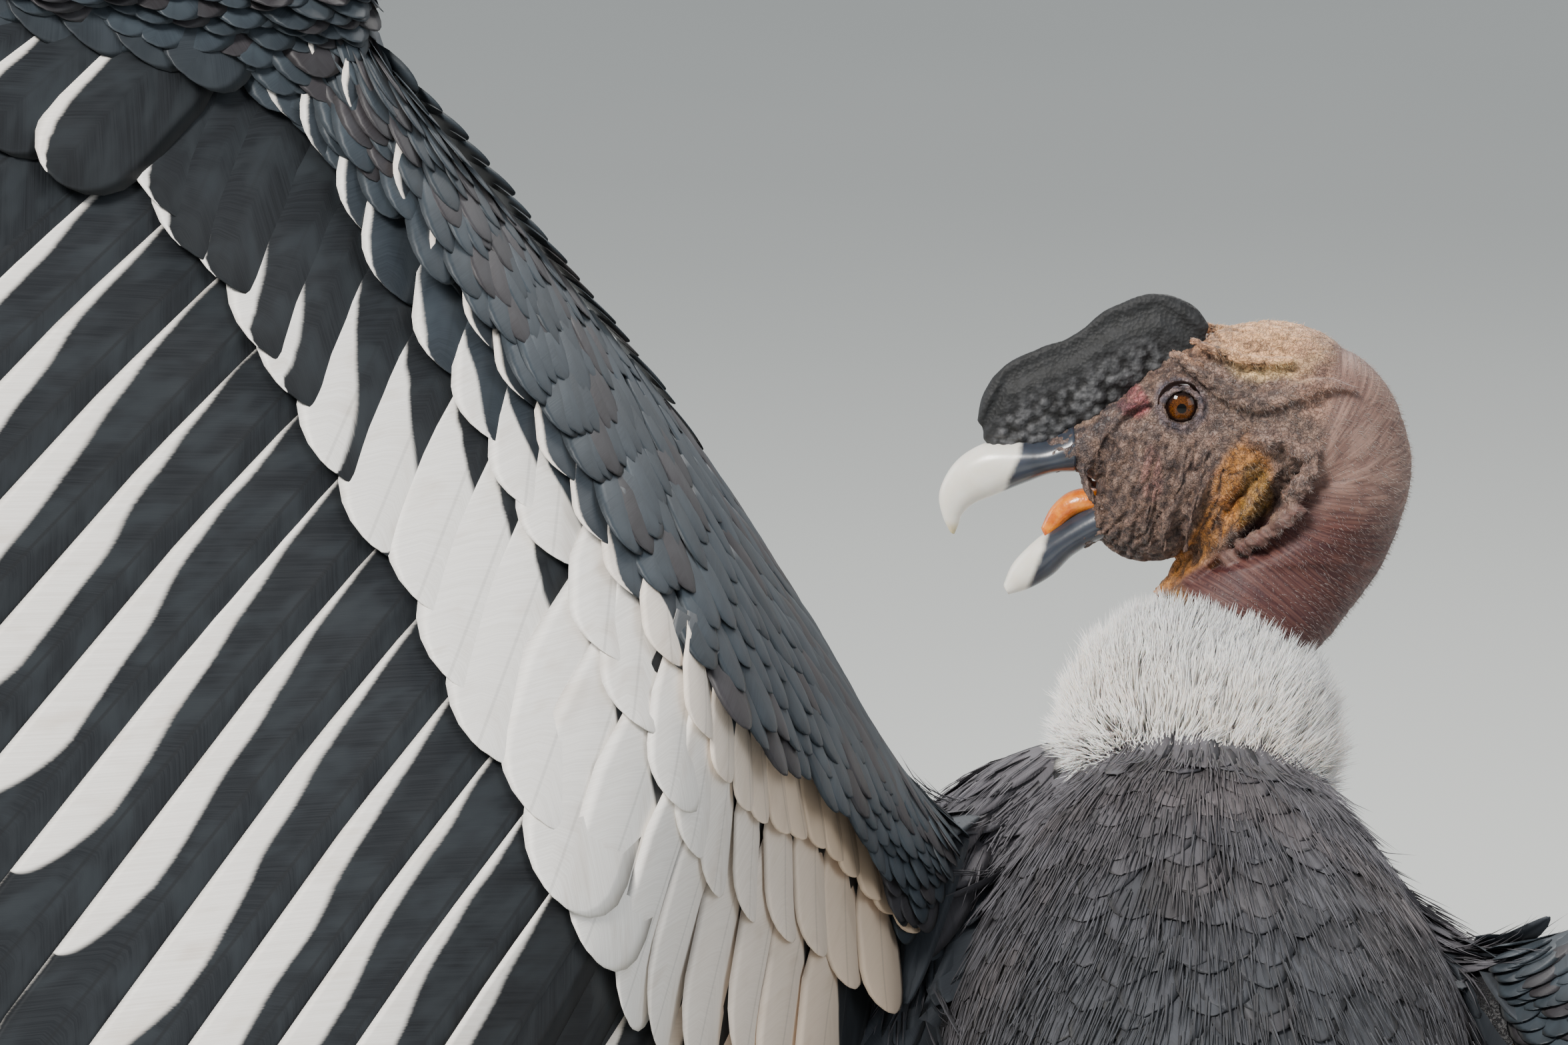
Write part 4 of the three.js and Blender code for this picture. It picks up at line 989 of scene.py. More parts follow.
def feather_stuff(name, roughness, sheen, barb_depth, quill_dark, edge_shade):
    """Web of fine barbs that run out from the shaft, with the pale wedge that mark gives, and painted shade
    along its edges and tip.
    """
    stuff, shader = new_material(name, roughness, Sheen_Weight=sheen, Specular_IOR_Level=0.3)
    up_barb, off_quill, luck = parts_of(stuff, attribute(stuff, "barb"))
    plan_u, plan_v, _ = parts_of(stuff, step(stuff, "ShaderNodeUVMap", uv_map="Feather"))
    wedge_start, wedge_width, cream = parts_of(stuff, attribute(stuff, "mark"))

    def stretched(out_scale, shaft_scale):
        return step(stuff, "ShaderNodeCombineXYZ", inputs={
            0: times(stuff, up_barb, out_scale),
            1: times(stuff, off_quill, shaft_scale),
            2: times(stuff, luck, 30.0)})

    barbs = grain(stuff, stretched(120.0, 3.0), 1.0, 3.0, 0.6)
    cloudy = grain(stuff, stretched(5.0, 6.0), 1.0, 2.0)
    own = attribute(stuff, "hue", "Color")
    deep = mixed(stuff, eased(stuff, barbs, 0.3, 0.7), mixed(stuff, 0.14, own, (0, 0, 0)),
                 mixed(stuff, 0.012, own, (0.6, 0.66, 0.72)))
    deep = mixed(stuff, eased(stuff, cloudy, 0.4, 0.7), deep, mixed(stuff, 0.025, own, (0.5, 0.6, 0.66)))
    off_shaft = gap_to(stuff, plan_u, 0.5)
    # Painted shade: the web darkens towards its edges and tip, as the shadow that overlapping feathers cast
    # on one another.
    rim = sums(stuff, "MAXIMUM", eased(stuff, off_shaft, 0.34, 0.5), eased(stuff, plan_v, 0.82, 1.0))
    deep = mixed(stuff, times(stuff, rim, edge_shade), deep, mixed(stuff, 0.75, own, (0, 0, 0)))
    white = mixed(stuff, eased(stuff, barbs, 0.25, 0.75), tint(222, 219, 214), tint(240, 238, 234))
    creamy = mixed(stuff, cream, white, tint(208, 182, 154))
    creamy = mixed(stuff, eased(stuff, cloudy, 0.5, 0.8, 0.0, 0.3), creamy, tint(172, 150, 128))
    grow = sums(stuff, "POWER", eased(stuff, plan_v, wedge_start, 0.9), 0.7)
    dark_from = attribute(stuff, "tip_dark", "Fac")
    taper = step(stuff, "ShaderNodeMapRange", inputs={
        0: plan_v, 1: sums(stuff, "SUBTRACT", dark_from, 0.11), 2: dark_from, 3: 1.0, 4: 0.0})
    width = times(stuff, times(stuff, grow, wedge_width), sums(stuff, "POWER", taper, 0.5))
    ragged = times(stuff, sums(stuff, "SUBTRACT", barbs, 0.5), 0.035)
    slow = grain(stuff, stretched(1.6, 3.0), 1.0, 1.0)
    rub = times(stuff, sums(stuff, "SUBTRACT", slow, 0.5), 0.16)
    where = sums(stuff, "ADD", plan_u, sums(stuff, "ADD", ragged, rub))
    pale = eased(stuff, sums(stuff, "SUBTRACT", width, where), -0.02, 0.045)
    web = mixed(stuff, pale, deep, creamy)
    off_line = sums(stuff, "ABSOLUTE", times(stuff, off_quill, 100.0))
    quill = times(stuff, eased(stuff, off_line, 0.3, 0.9, 1.0, 0.0), quill_dark)
    web = mixed(stuff, quill, web, mixed(stuff, 0.5, own, (0.01, 0.01, 0.01)))
    join(stuff, web, shader.inputs["Base Color"])
    relief(stuff, shader, barbs, barb_depth, 0.6)
    return stuff


flight_stuff = feather_stuff("flight feather web", 0.5, 0.02, 0.1, 0.6, 0.3)
covert_stuff = feather_stuff("covert web", 0.52, 0.03, 0.08, 0.18, 0.4)
body_stuff = feather_stuff("body feather web", 0.62, 0.06, 0.2, 0.0, 0.0)
DARK = tint(20, 23, 27)
SLATE = tint(48, 56, 63)


def hues(count, colour, spread, other=None, other_share=0.0):
    base = np.tile(np.array(colour), (count, 1))
    if other is not None:
        base[chance.uniform(size=count) < other_share] = other
    return base * chance.uniform(1 - spread, 1 + spread, (count, 1))


def finish(mesh, stuff, nodes=()):
    piece = stand_in_scene(mesh.name, mesh, stuff)
    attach(piece, "root")
    if nodes:
        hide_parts(*nodes)
    return piece


# The flight feathers: long asymmetric vanes on the arm and hand, black with a white outer web
# on the secondaries, each lying over the next one out.
TERTIAL_LENGTH = 300
SECONDARY_LENGTH = 425
PRIMARY_LENGTH = 600
WRIST_STOP = 4
LAST_STOP = 7


def quill_row(arm):
    """Root, way and length of the quill at any stop: 0 is the shoulder, 2 the elbow, 4 the wrist."""
    shoulder, elbow, wrist, hand = arm["shoulder"], arm["elbow"], arm["wrist"], arm["hand"]
    inner, outer = arm["inner_trail"], arm["outer_trail"]
    spread = [unit(between(outer, hand, share)) for share in (0.33, 0.66, 0.97)]
    stops = [
        (between(shoulder, elbow, 0.18), inner, TERTIAL_LENGTH),
        (between(shoulder, elbow, 0.6), between(inner, arm["trail"], 0.45), TERTIAL_LENGTH * 1.2),
        (elbow, arm["trail"], SECONDARY_LENGTH),
        (between(elbow, wrist, 0.5), between(arm["trail"], outer, 0.4), SECONDARY_LENGTH),
        (wrist, outer, SECONDARY_LENGTH),
        (shifted(wrist, hand, HAND_LENGTH * 0.3), spread[0], PRIMARY_LENGTH * 0.86),
        (shifted(wrist, hand, HAND_LENGTH * 0.62), spread[1], PRIMARY_LENGTH),
        (shifted(wrist, hand, HAND_LENGTH * 0.9), spread[2], PRIMARY_LENGTH * 0.9),
    ]
    roots = curve_through([s[0] for s in stops])
    ways = curve_through([s[1] for s in stops])
    lengths = curve_through([[s[2], 0, 0] for s in stops])

    def middle(t):
        return roots(t) + unit(ways(t)) * 150

    def row(stop):
        t = np.clip(np.atleast_1d(np.asarray(stop, float)) / (len(stops) - 1), 0, 1)
        along = unit(ways(t))
        out = unit(middle(np.minimum(1, t + 0.02)) - middle(np.maximum(0, t - 0.02)))
        face = unit(np.cross(along, out))
        face = face * np.sign(face[:, 2:])
        return {"root": roots(t), "along": along, "out": out, "face": face, "length": lengths(t)[:, 0]}

    return row


SHINGLE = math.radians(5.5)


def row_batch(arm, stops, length, outer, inner, back, lift, rise=0.0, lean=0.0, **more):
    """Blades of one row of quills. lean turns them to the body, rise is how high the tips lie."""
    quills = quill_row(arm)(stops)
    count = len(stops)
    length = np.broadcast_to(np.asarray(length, float), (count,))
    lean = np.broadcast_to(np.asarray(lean, float), (count,))
    back = np.reshape(back, (-1, 1))
    way = unit(quills["along"] - quills["out"] * lean[:, None])
    way = unit(way + quills["face"] * (rise / length)[:, None])
    root = quills["root"] - quills["along"] * back + quills["face"] * np.asarray(lift).reshape(-1, 1)
    batch = {"root": root, "along": way, "out": quills["out"], "face": quills["face"], "length": length,
             "outer": outer, "inner": inner, "turn": SHINGLE, "luck": chance.uniform(size=count)}
    batch.update(more)
    return batch


def widths(rows, outline):
    return rows, np.interp(rows, [p[0] for p in outline], [p[1] for p in outline])


def mark(start, width, cream):
    """Where each blade's pale wedge starts, its width and its share of cream."""
    return np.stack(np.broadcast_arrays(start, width, cream), axis=1)


def evenly(count, first, span):
    """Stops in the middle of equal shares of the span."""
    return first + (np.arange(count) + 0.5) / count * span


FLIGHT_ROWS = np.concatenate([np.linspace(0, 0.88, 16), [0.92, 0.95, 0.975, 0.99, 1.0]])
FLIGHT_COLUMNS = [-1, -0.82, -0.55, -0.28, -0.07, 0, 0.07, 0.35, 0.65, 0.88, 1]
SECONDARY_SHAPE = widths(FLIGHT_ROWS, [
    (0, 0.18), (0.06, 0.3), (0.25, 0.85), (0.45, 1), (0.88, 0.97), (0.93, 0.88), (0.965, 0.7),
    (0.99, 0.38), (1, 0.15),
])
PRIMARY_SHAPE = widths(FLIGHT_ROWS, [
    (0, 0.2), (0.2, 0.85), (0.5, 1), (0.62, 0.8), (0.8, 0.62), (0.95, 0.5), (1, 0.12),
])
TERTIALS = 6
SECONDARIES = 12
PRIMARIES = 10
FLIGHT_BACK = 14
FLIGHT_DROOP = 0.05
NAMES = {-1: "left", 1: "right"}
for arm in (LEFT_ARM, RIGHT_ARM):
    side_name = NAMES[arm["side"]]
    stops = np.concatenate([(np.arange(TERTIALS) + 0.5) / TERTIALS * 2,
                            2 + (np.arange(SECONDARIES) + 0.5) / (SECONDARIES / 2)])
    count = len(stops)
    inward = np.clip((2 - stops) / 2, 0, 1)
    outermost = soft(stops, 3.2, 4.0)
    lengths = quill_row(arm)(stops)["length"]
    wedge = 0.42 - 0.05 * outermost + 0.4 * soft(inward, 0.4, 0.75)
    batch = row_batch(
        arm, stops, lengths, 22 + 6 * inward, 46.0, FLIGHT_BACK, 0.0, droop=lengths * FLIGHT_DROOP,
        cup=3.0, thickness=1.0, sweep=-6.0,
        tip_dark=0.93 - 0.12 * soft(stops, 2.2, 2.8) + chance.uniform(-0.02, 0.02, count),
        mark=mark(0.24 + 0.1 * inward, wedge, 0.1 + 0.5 * inward), hue=hues(count, DARK, 0.12))
    mesh = blades(side_name + "_secondaries", batch, SECONDARY_SHAPE, FLIGHT_COLUMNS, 1.1)
    finish(mesh, flight_stuff, nodes=(side_name + "_upper_wing", side_name + "_forewing"))
    stops = evenly(PRIMARIES, WRIST_STOP, 3)
    share = (stops - WRIST_STOP) / 3
    lengths = quill_row(arm)(stops)["length"]
    batch = row_batch(
        arm, stops, lengths, 20 - 6 * share, 44.0 - 8 * share, FLIGHT_BACK, 3 - 7 * share,
        droop=lengths * FLIGHT_DROOP, cup=3.0, thickness=1.0, sweep=-10.0, hue=hues(PRIMARIES, DARK, 0.12))
    mesh = blades(side_name + "_primaries", batch, PRIMARY_SHAPE, FLIGHT_COLUMNS, 1.4)
    finish(mesh, flight_stuff, nodes=(side_name + "_hand",))

# The coverts: rows of soft rounded feathers that hide the quills, white wedges on the arm and
# slate on the hand, with the alula on the wrist. On the arm they lie on its skin and the quills.
STOP_PLACES = np.array([0.6, 1.75, 3, 4.25, 6, 6.55, 7.16, 7.78]) / 8
COVERT_SHAPE = rounded(0.8, 0.35, 0.55)
COVERT_COLUMNS = [-1, -0.75, -0.4, 0, 0.4, 0.75, 1]


def on_surface(surface, t, angle):
    """Points of a loft, their outward normals, the way along it and their flat unwrap place."""
    t = np.asarray(t, float)
    angle = np.asarray(angle, float)
    spot = surface(t, angle)
    by_t = surface(np.minimum(t + 0.004, 1), angle) - surface(np.maximum(t - 0.004, 0), angle)
    by_angle = surface(t, angle + 0.02) - surface(t, angle - 0.02)
    middle = (surface(t, angle) + surface(t, angle + math.pi)) / 2
    normal = towards(unit(np.cross(by_t, by_angle)), spot - middle)
    flat = np.stack([0.02 + 0.94 * (angle % (2 * math.pi)) / (2 * math.pi), 0.02 + 0.94 * t], axis=1)
    return spot, normal, unit(by_t), flat


def on_arm(arm, stop, back, upper=True):
    """A place on the arm's skin that far before its trailing edge, above or below."""
    surface = arms[arm["side"]]
    middle = (surface(0.55, 0.0) + surface(0.55, math.pi)) / 2
    probe = ((surface(0.55, math.pi / 2) - middle) * quill_row(arm)(3.0)["face"]).sum()
    t = np.interp(stop, np.arange(8), STOP_PLACES)
    chord = np.linalg.norm(surface(t, 0.0) - surface(t, math.pi), axis=1)
    angle = np.arccos(np.clip(2 * back / chord - 1, -0.99, 0.99)) * (1 if (probe > 0) == upper else -1)
    return (*on_surface(surface, t, angle), chord)


def laid_row(arm, stops, back, length, half, lean, rise, **more):
    """Feathers rooted on the upper skin of the arm, lying over the ones behind."""
    spot, face, _, flat, _ = on_arm(arm, stops, back)
    quills = quill_row(arm)(stops)
    way = flat_on(unit(quills["along"] - quills["out"] * np.reshape(lean, (-1, 1))), face)
    out = towards(np.cross(face, way), quills["out"])
    count = len(stops)
    batch = {"root": spot + face * 0.5, "along": unit(way + face * rise), "face": face, "out": out,
             "length": np.broadcast_to(np.asarray(length, float), (count,)), "outer": half, "inner": half,
             "turn": SHINGLE, "luck": chance.uniform(size=count), "flat": flat}
    batch.update(more)
    return batch


def tree_of(spots, faces):
    return BVHTree.FromPolygons([tuple(spot) for spot in spots], [tuple(face) for face in faces])


def mesh_tree(mesh):
    return tree_of(drawn_spots(mesh), [part.vertices for part in mesh.polygons])


def heights(trees, spots, faces, reach):
    """How far over each point the highest form lies along its face. Low where there is none."""
    tops = np.full(len(spots), -200.0)
    for tree in trees:
        for number, (spot, face) in enumerate(zip(spots + faces * reach, faces)):
            far = tree.ray_cast(Vector(spot), Vector(-face), reach * 1.6)[3]
            if far is not None:
                tops[number] = max(tops[number], reach - far)
    return tops


def covert_form(arm, arm_tree):
    """The arm's upper skin eased down on to the quills behind it, for the coverts to lie on."""
    stops = np.linspace(0, 7, 71)
    places = np.arange(-130, 261, 10.0)
    quills = quill_row(arm)(stops)
    spots = quills["root"][:, None] + quills["along"][:, None] * places[None, :, None]
    faces = np.broadcast_to(quills["face"][:, None], spots.shape)
    tops = heights([arm_tree], spots.reshape(-1, 3), faces.reshape(-1, 3), 90)
    tops = np.clip(tops.reshape(spots.shape[:2]), 0, 40)
    for number in range(1, len(places)):
        tops[:, number] = np.maximum(tops[:, number], tops[:, number - 1] - 1.6)
    for _ in range(2):
        wide = np.pad(tops, ((2, 2), (1, 1)), "edge")
        rows = (wide[:-4] + wide[4:] + 2 * (wide[1:-3] + wide[3:-1]) + 3 * wide[2:-2]) / 9
        tops = (rows[:, :-2] + 2 * rows[:, 1:-1] + rows[:, 2:]) / 4
    spots = (spots + faces * tops[..., None]).reshape(-1, 3)
    wide = len(places)
    starts = [k for k in range(len(spots) - wide) if k % wide < wide - 1]
    return tree_of(spots, [(k, k + 1, k + 1 + wide, k + wide) for k in starts])


RAY_REACH = 60


def laid_down(batch, trees, low, high):
    """Turns and bends each blade so that it follows the form under it, low to high clear of it."""
    face = batch["face"]
    length = np.broadcast_to(np.asarray(batch["length"], float), (len(face),))
    way = flat_on(batch["along"], face)
    out = flat_on(batch["out"], way)
    tops = [np.zeros(len(face))]
    for share in (0.0, 0.5, 1.0):
        found = heights(trees, batch["root"] + way * (length * share)[:, None], face, RAY_REACH)
        near = np.abs(found - tops[-1]) < 0.3 * length + 8
        tops.append(np.where(near, found, tops[-1] - 1))
    halfway = batch["root"] + way * (length * 0.5)[:, None]
    left_side, right_side = (heights(trees, halfway + out * far, face, RAY_REACH) for far in (-8, 8))
    slant = right_side - left_side
    tilt = np.where(np.abs(slant) < 8, slant / 16, 0)
    start, middle, end = tops[1] + low, tops[2] + (low + high) / 2, tops[3] + high
    slope = (4 * middle - 3 * start - end) / length
    batch["root"] = batch["root"] + face * start[:, None]
    batch["along"] = unit(way + face * slope[:, None])
    batch["droop"] = 4 * middle - 2 * start - 2 * end
    batch["turn"] = batch.get("turn", 0.0) + np.arctan(tilt)
    return batch


BARE_VALUES = {"mark": PLAIN, "tip_dark": NO_DARK_TIP}
VALUE_SHAPES = {key: (3,) for key in ("root", "along", "face", "out", "mark", "hue")} | {"flat": (2,)}


def together(batches):
    """Several batches as one, each value spread to one for each blade."""
    merged = {}
    for key in sorted(set().union(*batches)):
        parts = []
        for batch in batches:
            value = np.asarray(batch.get(key, BARE_VALUES.get(key, 0.0)), float)
            shape = (len(batch["root"]), *VALUE_SHAPES.get(key, ()))
            parts.append(np.broadcast_to(value, shape))
        merged[key] = np.concatenate(parts)
    return merged


def inner_share(stops):
    """1 at the shoulder, 0 from the wrist on."""
    return np.clip((WRIST_STOP - stops) / WRIST_STOP, 0, 1)


def ahead(stops, back):
    """How far before the quills' feet a row starts. At the shoulder the arm reaches behind them."""
    return back + 10 - np.interp(stops, [0, 1, 2, 3, 4], [48, 20, 14, 8, 12])


def arm_stops(first, last, elbow):
    """Stops of one row: six blades on the upper arm and the rest on the forearm."""
    stops = np.concatenate([np.linspace(first, last, 6), np.linspace(elbow, 4.1, ARM_COVERTS - 6)])
    return stops + chance.uniform(-0.03, 0.03, ARM_COVERTS)


ARM_COVERTS = 19
THIRD_ROW = 25
LONG_ROW = 10
SHORT_ROW = 11
ALULA = 4
CRESCENTS = 2
GREATER_LENGTH = 146.0
MEDIAN_LENGTH = 82.0
THIRD_LENGTH = 50.0
LONG_LENGTH = 165.0
SHORT_LENGTH = 92.0
ALULA_LENGTH = 128.0
body_tree = mesh_tree(body_skin)
for arm in (LEFT_ARM, RIGHT_ARM):
    side_name = NAMES[arm["side"]]
    form_tree = covert_form(arm, mesh_tree(tube(arms[arm["side"]], 28, 60)))
    stops = arm_stops(0.45, 1.85, 2.1)
    inner = inner_share(stops)
    greater = row_batch(
        arm, stops, GREATER_LENGTH + chance.uniform(-6, 6, ARM_COVERTS), 24 + 3 * inner, 31.0,
        ahead(stops, 14), 0.0, lean=0.28, cup=3.5, sweep=-5.0, tip_dark=1.02 + 0.6 * soft(inner, 0.12, 0.3),
        mark=mark(0.34 - 0.24 * soft(inner, 0.1, 0.4), 0.22 + 0.95 * soft(inner, 0.04, 0.4),
                  0.04 + 0.8 * soft(inner, 0.45, 1)), hue=hues(ARM_COVERTS, DARK, 0.12))
    greater = laid_down(greater, [form_tree], 0.5, 3.0)
    stops = arm_stops(0.4, 1.8, 2.0)
    inner = inner_share(stops)
    median = row_batch(
        arm, stops, MEDIAN_LENGTH + chance.uniform(-4, 4, ARM_COVERTS), 20.0, 23.0, ahead(stops, 24), 0.0,
        lean=0.62, cup=3.0, sweep=-4.0, tip_dark=0.98 + 0.6 * soft(inner, 0.2, 0.35),
        mark=mark(0.34 - 0.24 * soft(inner, 0.2, 0.45), 0.1 + 1.1 * soft(inner, 0.16, 0.42),
                  0.05 + 0.8 * soft(inner, 0.4, 0.9)), hue=hues(ARM_COVERTS, tint(44, 51, 58), 0.12))
    median = laid_down(median, [form_tree], 0.5, 5.5)
    stops = np.linspace(0.3, 4.3, THIRD_ROW) + chance.uniform(-0.03, 0.03, THIRD_ROW)
    inner = inner_share(stops)
    swell = 3 * soft(stops, 2.8, 3.4)
    third = row_batch(
        arm, stops, THIRD_LENGTH + 8 * soft(stops, 2, 3), 15 + swell, 16 + swell, ahead(stops, 30), 0.0,
        cup=2.5, lean=0.9 - 0.4 * soft(stops, 3.0, 4.0),
        mark=mark(0.1, 0.12 + 1.2 * soft(inner, 0.36, 0.46), 0.25 + 0.7 * soft(inner, 0.3, 0.8)),
        hue=hues(THIRD_ROW, tint(48, 55, 62), 0.15))
    third = laid_down(third, [form_tree], -1.5, 7.0)
    stops = evenly(LONG_ROW, WRIST_STOP, 2.9)
    share = (stops - WRIST_STOP) / 3
    pale = np.where(np.arange(LONG_ROW) < CRESCENTS, 0.2, -0.3)
    long_row = row_batch(
        arm, stops, LONG_LENGTH - 45 * share, 20.0, 26.0, 12, 9 - 6 * share, rise=2.0, lean=0.1,
        cup=3.5, droop=7.0, mark=mark(0.2, pale, 0.15), hue=hues(LONG_ROW, DARK, 0.15))
    stops = evenly(SHORT_ROW, WRIST_STOP, 2.8)
    share = (stops - WRIST_STOP) / 3
    short_row = row_batch(
        arm, stops, SHORT_LENGTH - 22 * share, 19.0, 22.0, 16, 13 - 7 * share, rise=3.0, lean=0.2,
        cup=3.0, droop=5.0, hue=hues(SHORT_ROW, tint(44, 50, 56), 0.2))
    number = np.arange(ALULA)
    stops = 4.3 + 0.25 * number
    alula = row_batch(arm, stops, ALULA_LENGTH - 12 * number, 13.0, 20.0, 10, 12 + 2.0 * number, rise=10.0,
                      cup=3.0, droop=4.0, hue=hues(ALULA, DARK, 0.1))
    alula["along"] = unit(np.tile(arm["hand"], (ALULA, 1)) + alula["face"] * 0.06 + alula["along"] * 0.25)
    alula["out"] = -quill_row(arm)(stops)["along"]
    tracts = {"greater_coverts": [greater], "median_coverts": [median, third],
              "hand_coverts": [long_row, short_row, alula]}
    for tract, rows in tracts.items():
        mesh = blades(f"{side_name}_{tract}", together(rows), COVERT_SHAPE, COVERT_COLUMNS, 0.4)
        finish(mesh, covert_stuff)

# The lesser coverts: rows of slate scales over the arm from the white rows to the leading edge,
# pointing to the body and smaller row by row, and dark lining feathers underneath.
SMALL_SHAPE = rounded(0.62, 0.45, 0.45)
SMALL_COLUMNS = [-1, -0.6, 0, 0.6, 1]
LESSER_LEVELS = 12
LINING_LEVELS = 8
STOP_LENGTH = 118
for arm in (LEFT_ARM, RIGHT_ARM):
    side_name = NAMES[arm["side"]]
    rows = []
    for level in range(LESSER_LEVELS):
        share = level / (LESSER_LEVELS - 1)
        gap = 17 - 7 * share
        stops = np.arange(0.0, 6.9, gap / STOP_LENGTH)
        stops = stops + (level % 2) * gap / (2 * STOP_LENGTH) + chance.uniform(-0.03, 0.03, len(stops))
        chord = on_arm(arm, stops, 10)[4]
        first = np.minimum(50 / chord, 0.36)
        back = chord * (first + (0.985 - first) * share)
        swell = np.interp(stops, [0, 2, 3.3, 4.3, 5.5, 7], [1, 1, 1.1, 1.45, 1.3, 1.1])
        inward = np.interp(stops, [0, 0.4, 1.2, 3.6, 4.4, 7], [0.1, 0.4, 1, 1, 0.6, 0.35])
        lean = (0.8 + 1.9 * share ** 1.5) * inward
        count = len(stops)
        size = swell * chance.uniform(0.9, 1.1, count)
        rows.append(laid_row(
            arm, stops, back, (48 - 22 * share) * size, (13.0 - 5.5 * share) * size, lean,
            0.18 - 0.13 * share, cup=2.2 - share, droop=(5 - 3 * share) * size, thickness=0.4,
            turn=chance.uniform(-0.08, 0.08, count), hue=hues(count, SLATE, 0.2, tint(50, 47, 50), 0.25)))
    mesh = blades(f"{side_name}_lesser_coverts", together(rows), SMALL_SHAPE, SMALL_COLUMNS, 0.2)
    finish(mesh, covert_stuff)
    rows = []
    for level in range(LINING_LEVELS):
        share = level / (LINING_LEVELS - 1)
        stops = np.arange(0.0, 6.9, (24 - 6 * share) / STOP_LENGTH) + (level % 2) * 0.09
        chord = on_arm(arm, stops, 10)[4]
        spot, normal, _, flat, _ = on_arm(arm, stops, chord * (0.3 + 0.68 * share), upper=False)
        quills = quill_row(arm)(stops)
        spot = spot - quills["face"] * 4 * (1 - share)
        normal = unit(normal - quills["face"] * (1.2 - 0.9 * share))
        way = flat_on(quills["along"], normal)
        count = len(stops)
        rows.append({
            "root": spot, "along": unit(way + normal * 0.06), "face": normal, "out": quills["out"],
            "length": (66 - 32 * share) * chance.uniform(0.9, 1.1, count), "outer": 17 - 6 * share,
            "inner": 17 - 6 * share, "cup": 2.0, "droop": 0.5, "thickness": 0.4,
            "luck": chance.uniform(size=count), "flat": flat, "hue": hues(count, tint(22, 23, 25), 0.3),
        })
    mesh = blades(f"{side_name}_lining", together(rows), SMALL_SHAPE, SMALL_COLUMNS, 0.2)
    finish(mesh, covert_stuff)

# The body coat: overlapping soft feathers whose vanes end in loose hairs, from the ruff back
# over mantle, shoulders, breast, belly and thighs.
BODY_SHAPE = rounded(0.55, 0.5, 0.45)
HAIRS_IN_A_PIECE = 19000


def body_coat(name, surface, t_range, rows, gap, size, drift, hue, skip=None, hairs_each=18, high=2.4):
    """Rings of feathers over a form where it shows, each with its loose hairs. gap is in a ring."""
    length, half = size
    gathered = []
    for number, t_value in enumerate(np.linspace(*t_range, rows)):
        ring = surface(np.full(25, t_value), np.linspace(0, 2 * math.pi, 25))
        n = max(6, int(np.linalg.norm(np.diff(ring, axis=0), axis=1).sum() / gap))
        angle = (np.arange(n) + (number % 2) * 0.5) / n * 2 * math.pi + chance.uniform(-0.06, 0.06, n)
        t = t_value + chance.uniform(-0.35, 0.35, n) * (t_range[1] - t_range[0]) / rows
        gathered.append(on_surface(surface, np.clip(t, 0.01, 0.99), angle))
    spot, normal, by_t, flat = (np.concatenate([g[k] for g in gathered]) for k in range(4))
    keep = heights([body_tree], spot, normal, RAY_REACH) < 8
    if skip is not None:
        keep &= ~skip(spot, normal)
    spot, normal, by_t, flat = spot[keep], normal[keep], by_t[keep], flat[keep]
    count = len(spot)
    way = unit(drift(spot, by_t) + chance.normal(0, 0.07, (count, 3)))
    way = flat_on(way, normal)
    lengths = length * chance.uniform(0.88, 1.12, count)
    colour = hue(spot)
    batch = {
        "root": spot, "along": way, "face": normal, "out": np.cross(normal, way),
        "length": lengths, "outer": half, "inner": half, "cup": 0.6, "thickness": 0.3,
        "luck": chance.uniform(size=count), "flat": flat, "hue": colour,
    }
    batch = laid_down(batch, [body_tree], -1.0, high)
    droop = batch["droop"]
    mesh = blades(name, batch, BODY_SHAPE, SMALL_COLUMNS, 0.15, fray=2.0)
    finish(mesh, body_stuff)
    if hairs_each == 0:
        return
    owner = np.repeat(np.arange(count), hairs_each)
    total = len(owner)
    sideways = np.tile(np.linspace(-0.9, 0.9, hairs_each), count) + chance.uniform(-0.1, 0.1, total)
    along = batch["along"][owner]
    out = unit(batch["out"])[owner]
    normals = normal[owner]
    share = chance.uniform(0.25, 0.88, total)
    far = lengths[owner] * share
    sink = 0.6 * sideways ** 2 + droop[owner] * share ** 2
    tilt = 2 * droop[owner] * share / lengths[owner]
    root = batch["root"][owner] + along * far[:, None]
    root = root + out * (sideways * half * 0.85)[:, None]
    root = root + normals * (0.7 - sink)[:, None]
    hairs = {
        "root": root,
        "along": unit(along + out * (sideways * 0.16)[:, None] - normals * tilt[:, None]
                      + chance.normal(0, 0.03, (total, 3))),
        "face": normals, "out": out, "length": length * chance.uniform(0.4, 0.6, total),
        "outer": chance.uniform(0.3, 0.6, total),
        "droop": droop[owner] * 0.25 + chance.uniform(0, 0.8, total),
        "luck": chance.uniform(size=total), "flat": flat[owner],
        "hue": colour[owner] * chance.uniform(0.75, 1.4, (total, 1)),
    }
    shares = np.array_split(np.arange(total), max(1, math.ceil(total / HAIRS_IN_A_PIECE)))
    for number, part in enumerate(shares, 1):
        tuft = {key: value[part] for key, value in hairs.items()}
        finish(needles(f"{name}_hairs_{number}", tuft), body_stuff)


# Painted sunlight: the black coat is painted grey on the back, lightest towards the ruff and darker further
# back; below, it is painted darker as the breast's own black.
def mantle_hue_and_sunlight(spot):
    back = soft(spot[:, 1], 150, -80)[:, None]
    base = np.array(tint(92, 89, 94)) * (1 - back) + np.array(tint(50, 52, 57)) * back
    clouds = [noise.noise(Vector((p[0] / 30, p[1] / 11, p[2] / 9))) for p in spot]
    bands = 1 + 0.3 * np.array(clouds)[:, None]
    base = base * (1 - 0.62 * soft(spot[:, 2], 600, 530)[:, None])
    warm = soft(wobble(spot, 34, 3.0), 0.0, 0.5)[:, None]
    base = base * (1 - warm * np.array([0.0, 0.08, 0.14]))
    return base * bands * chance.uniform(0.8, 1.2, (len(spot), 1))


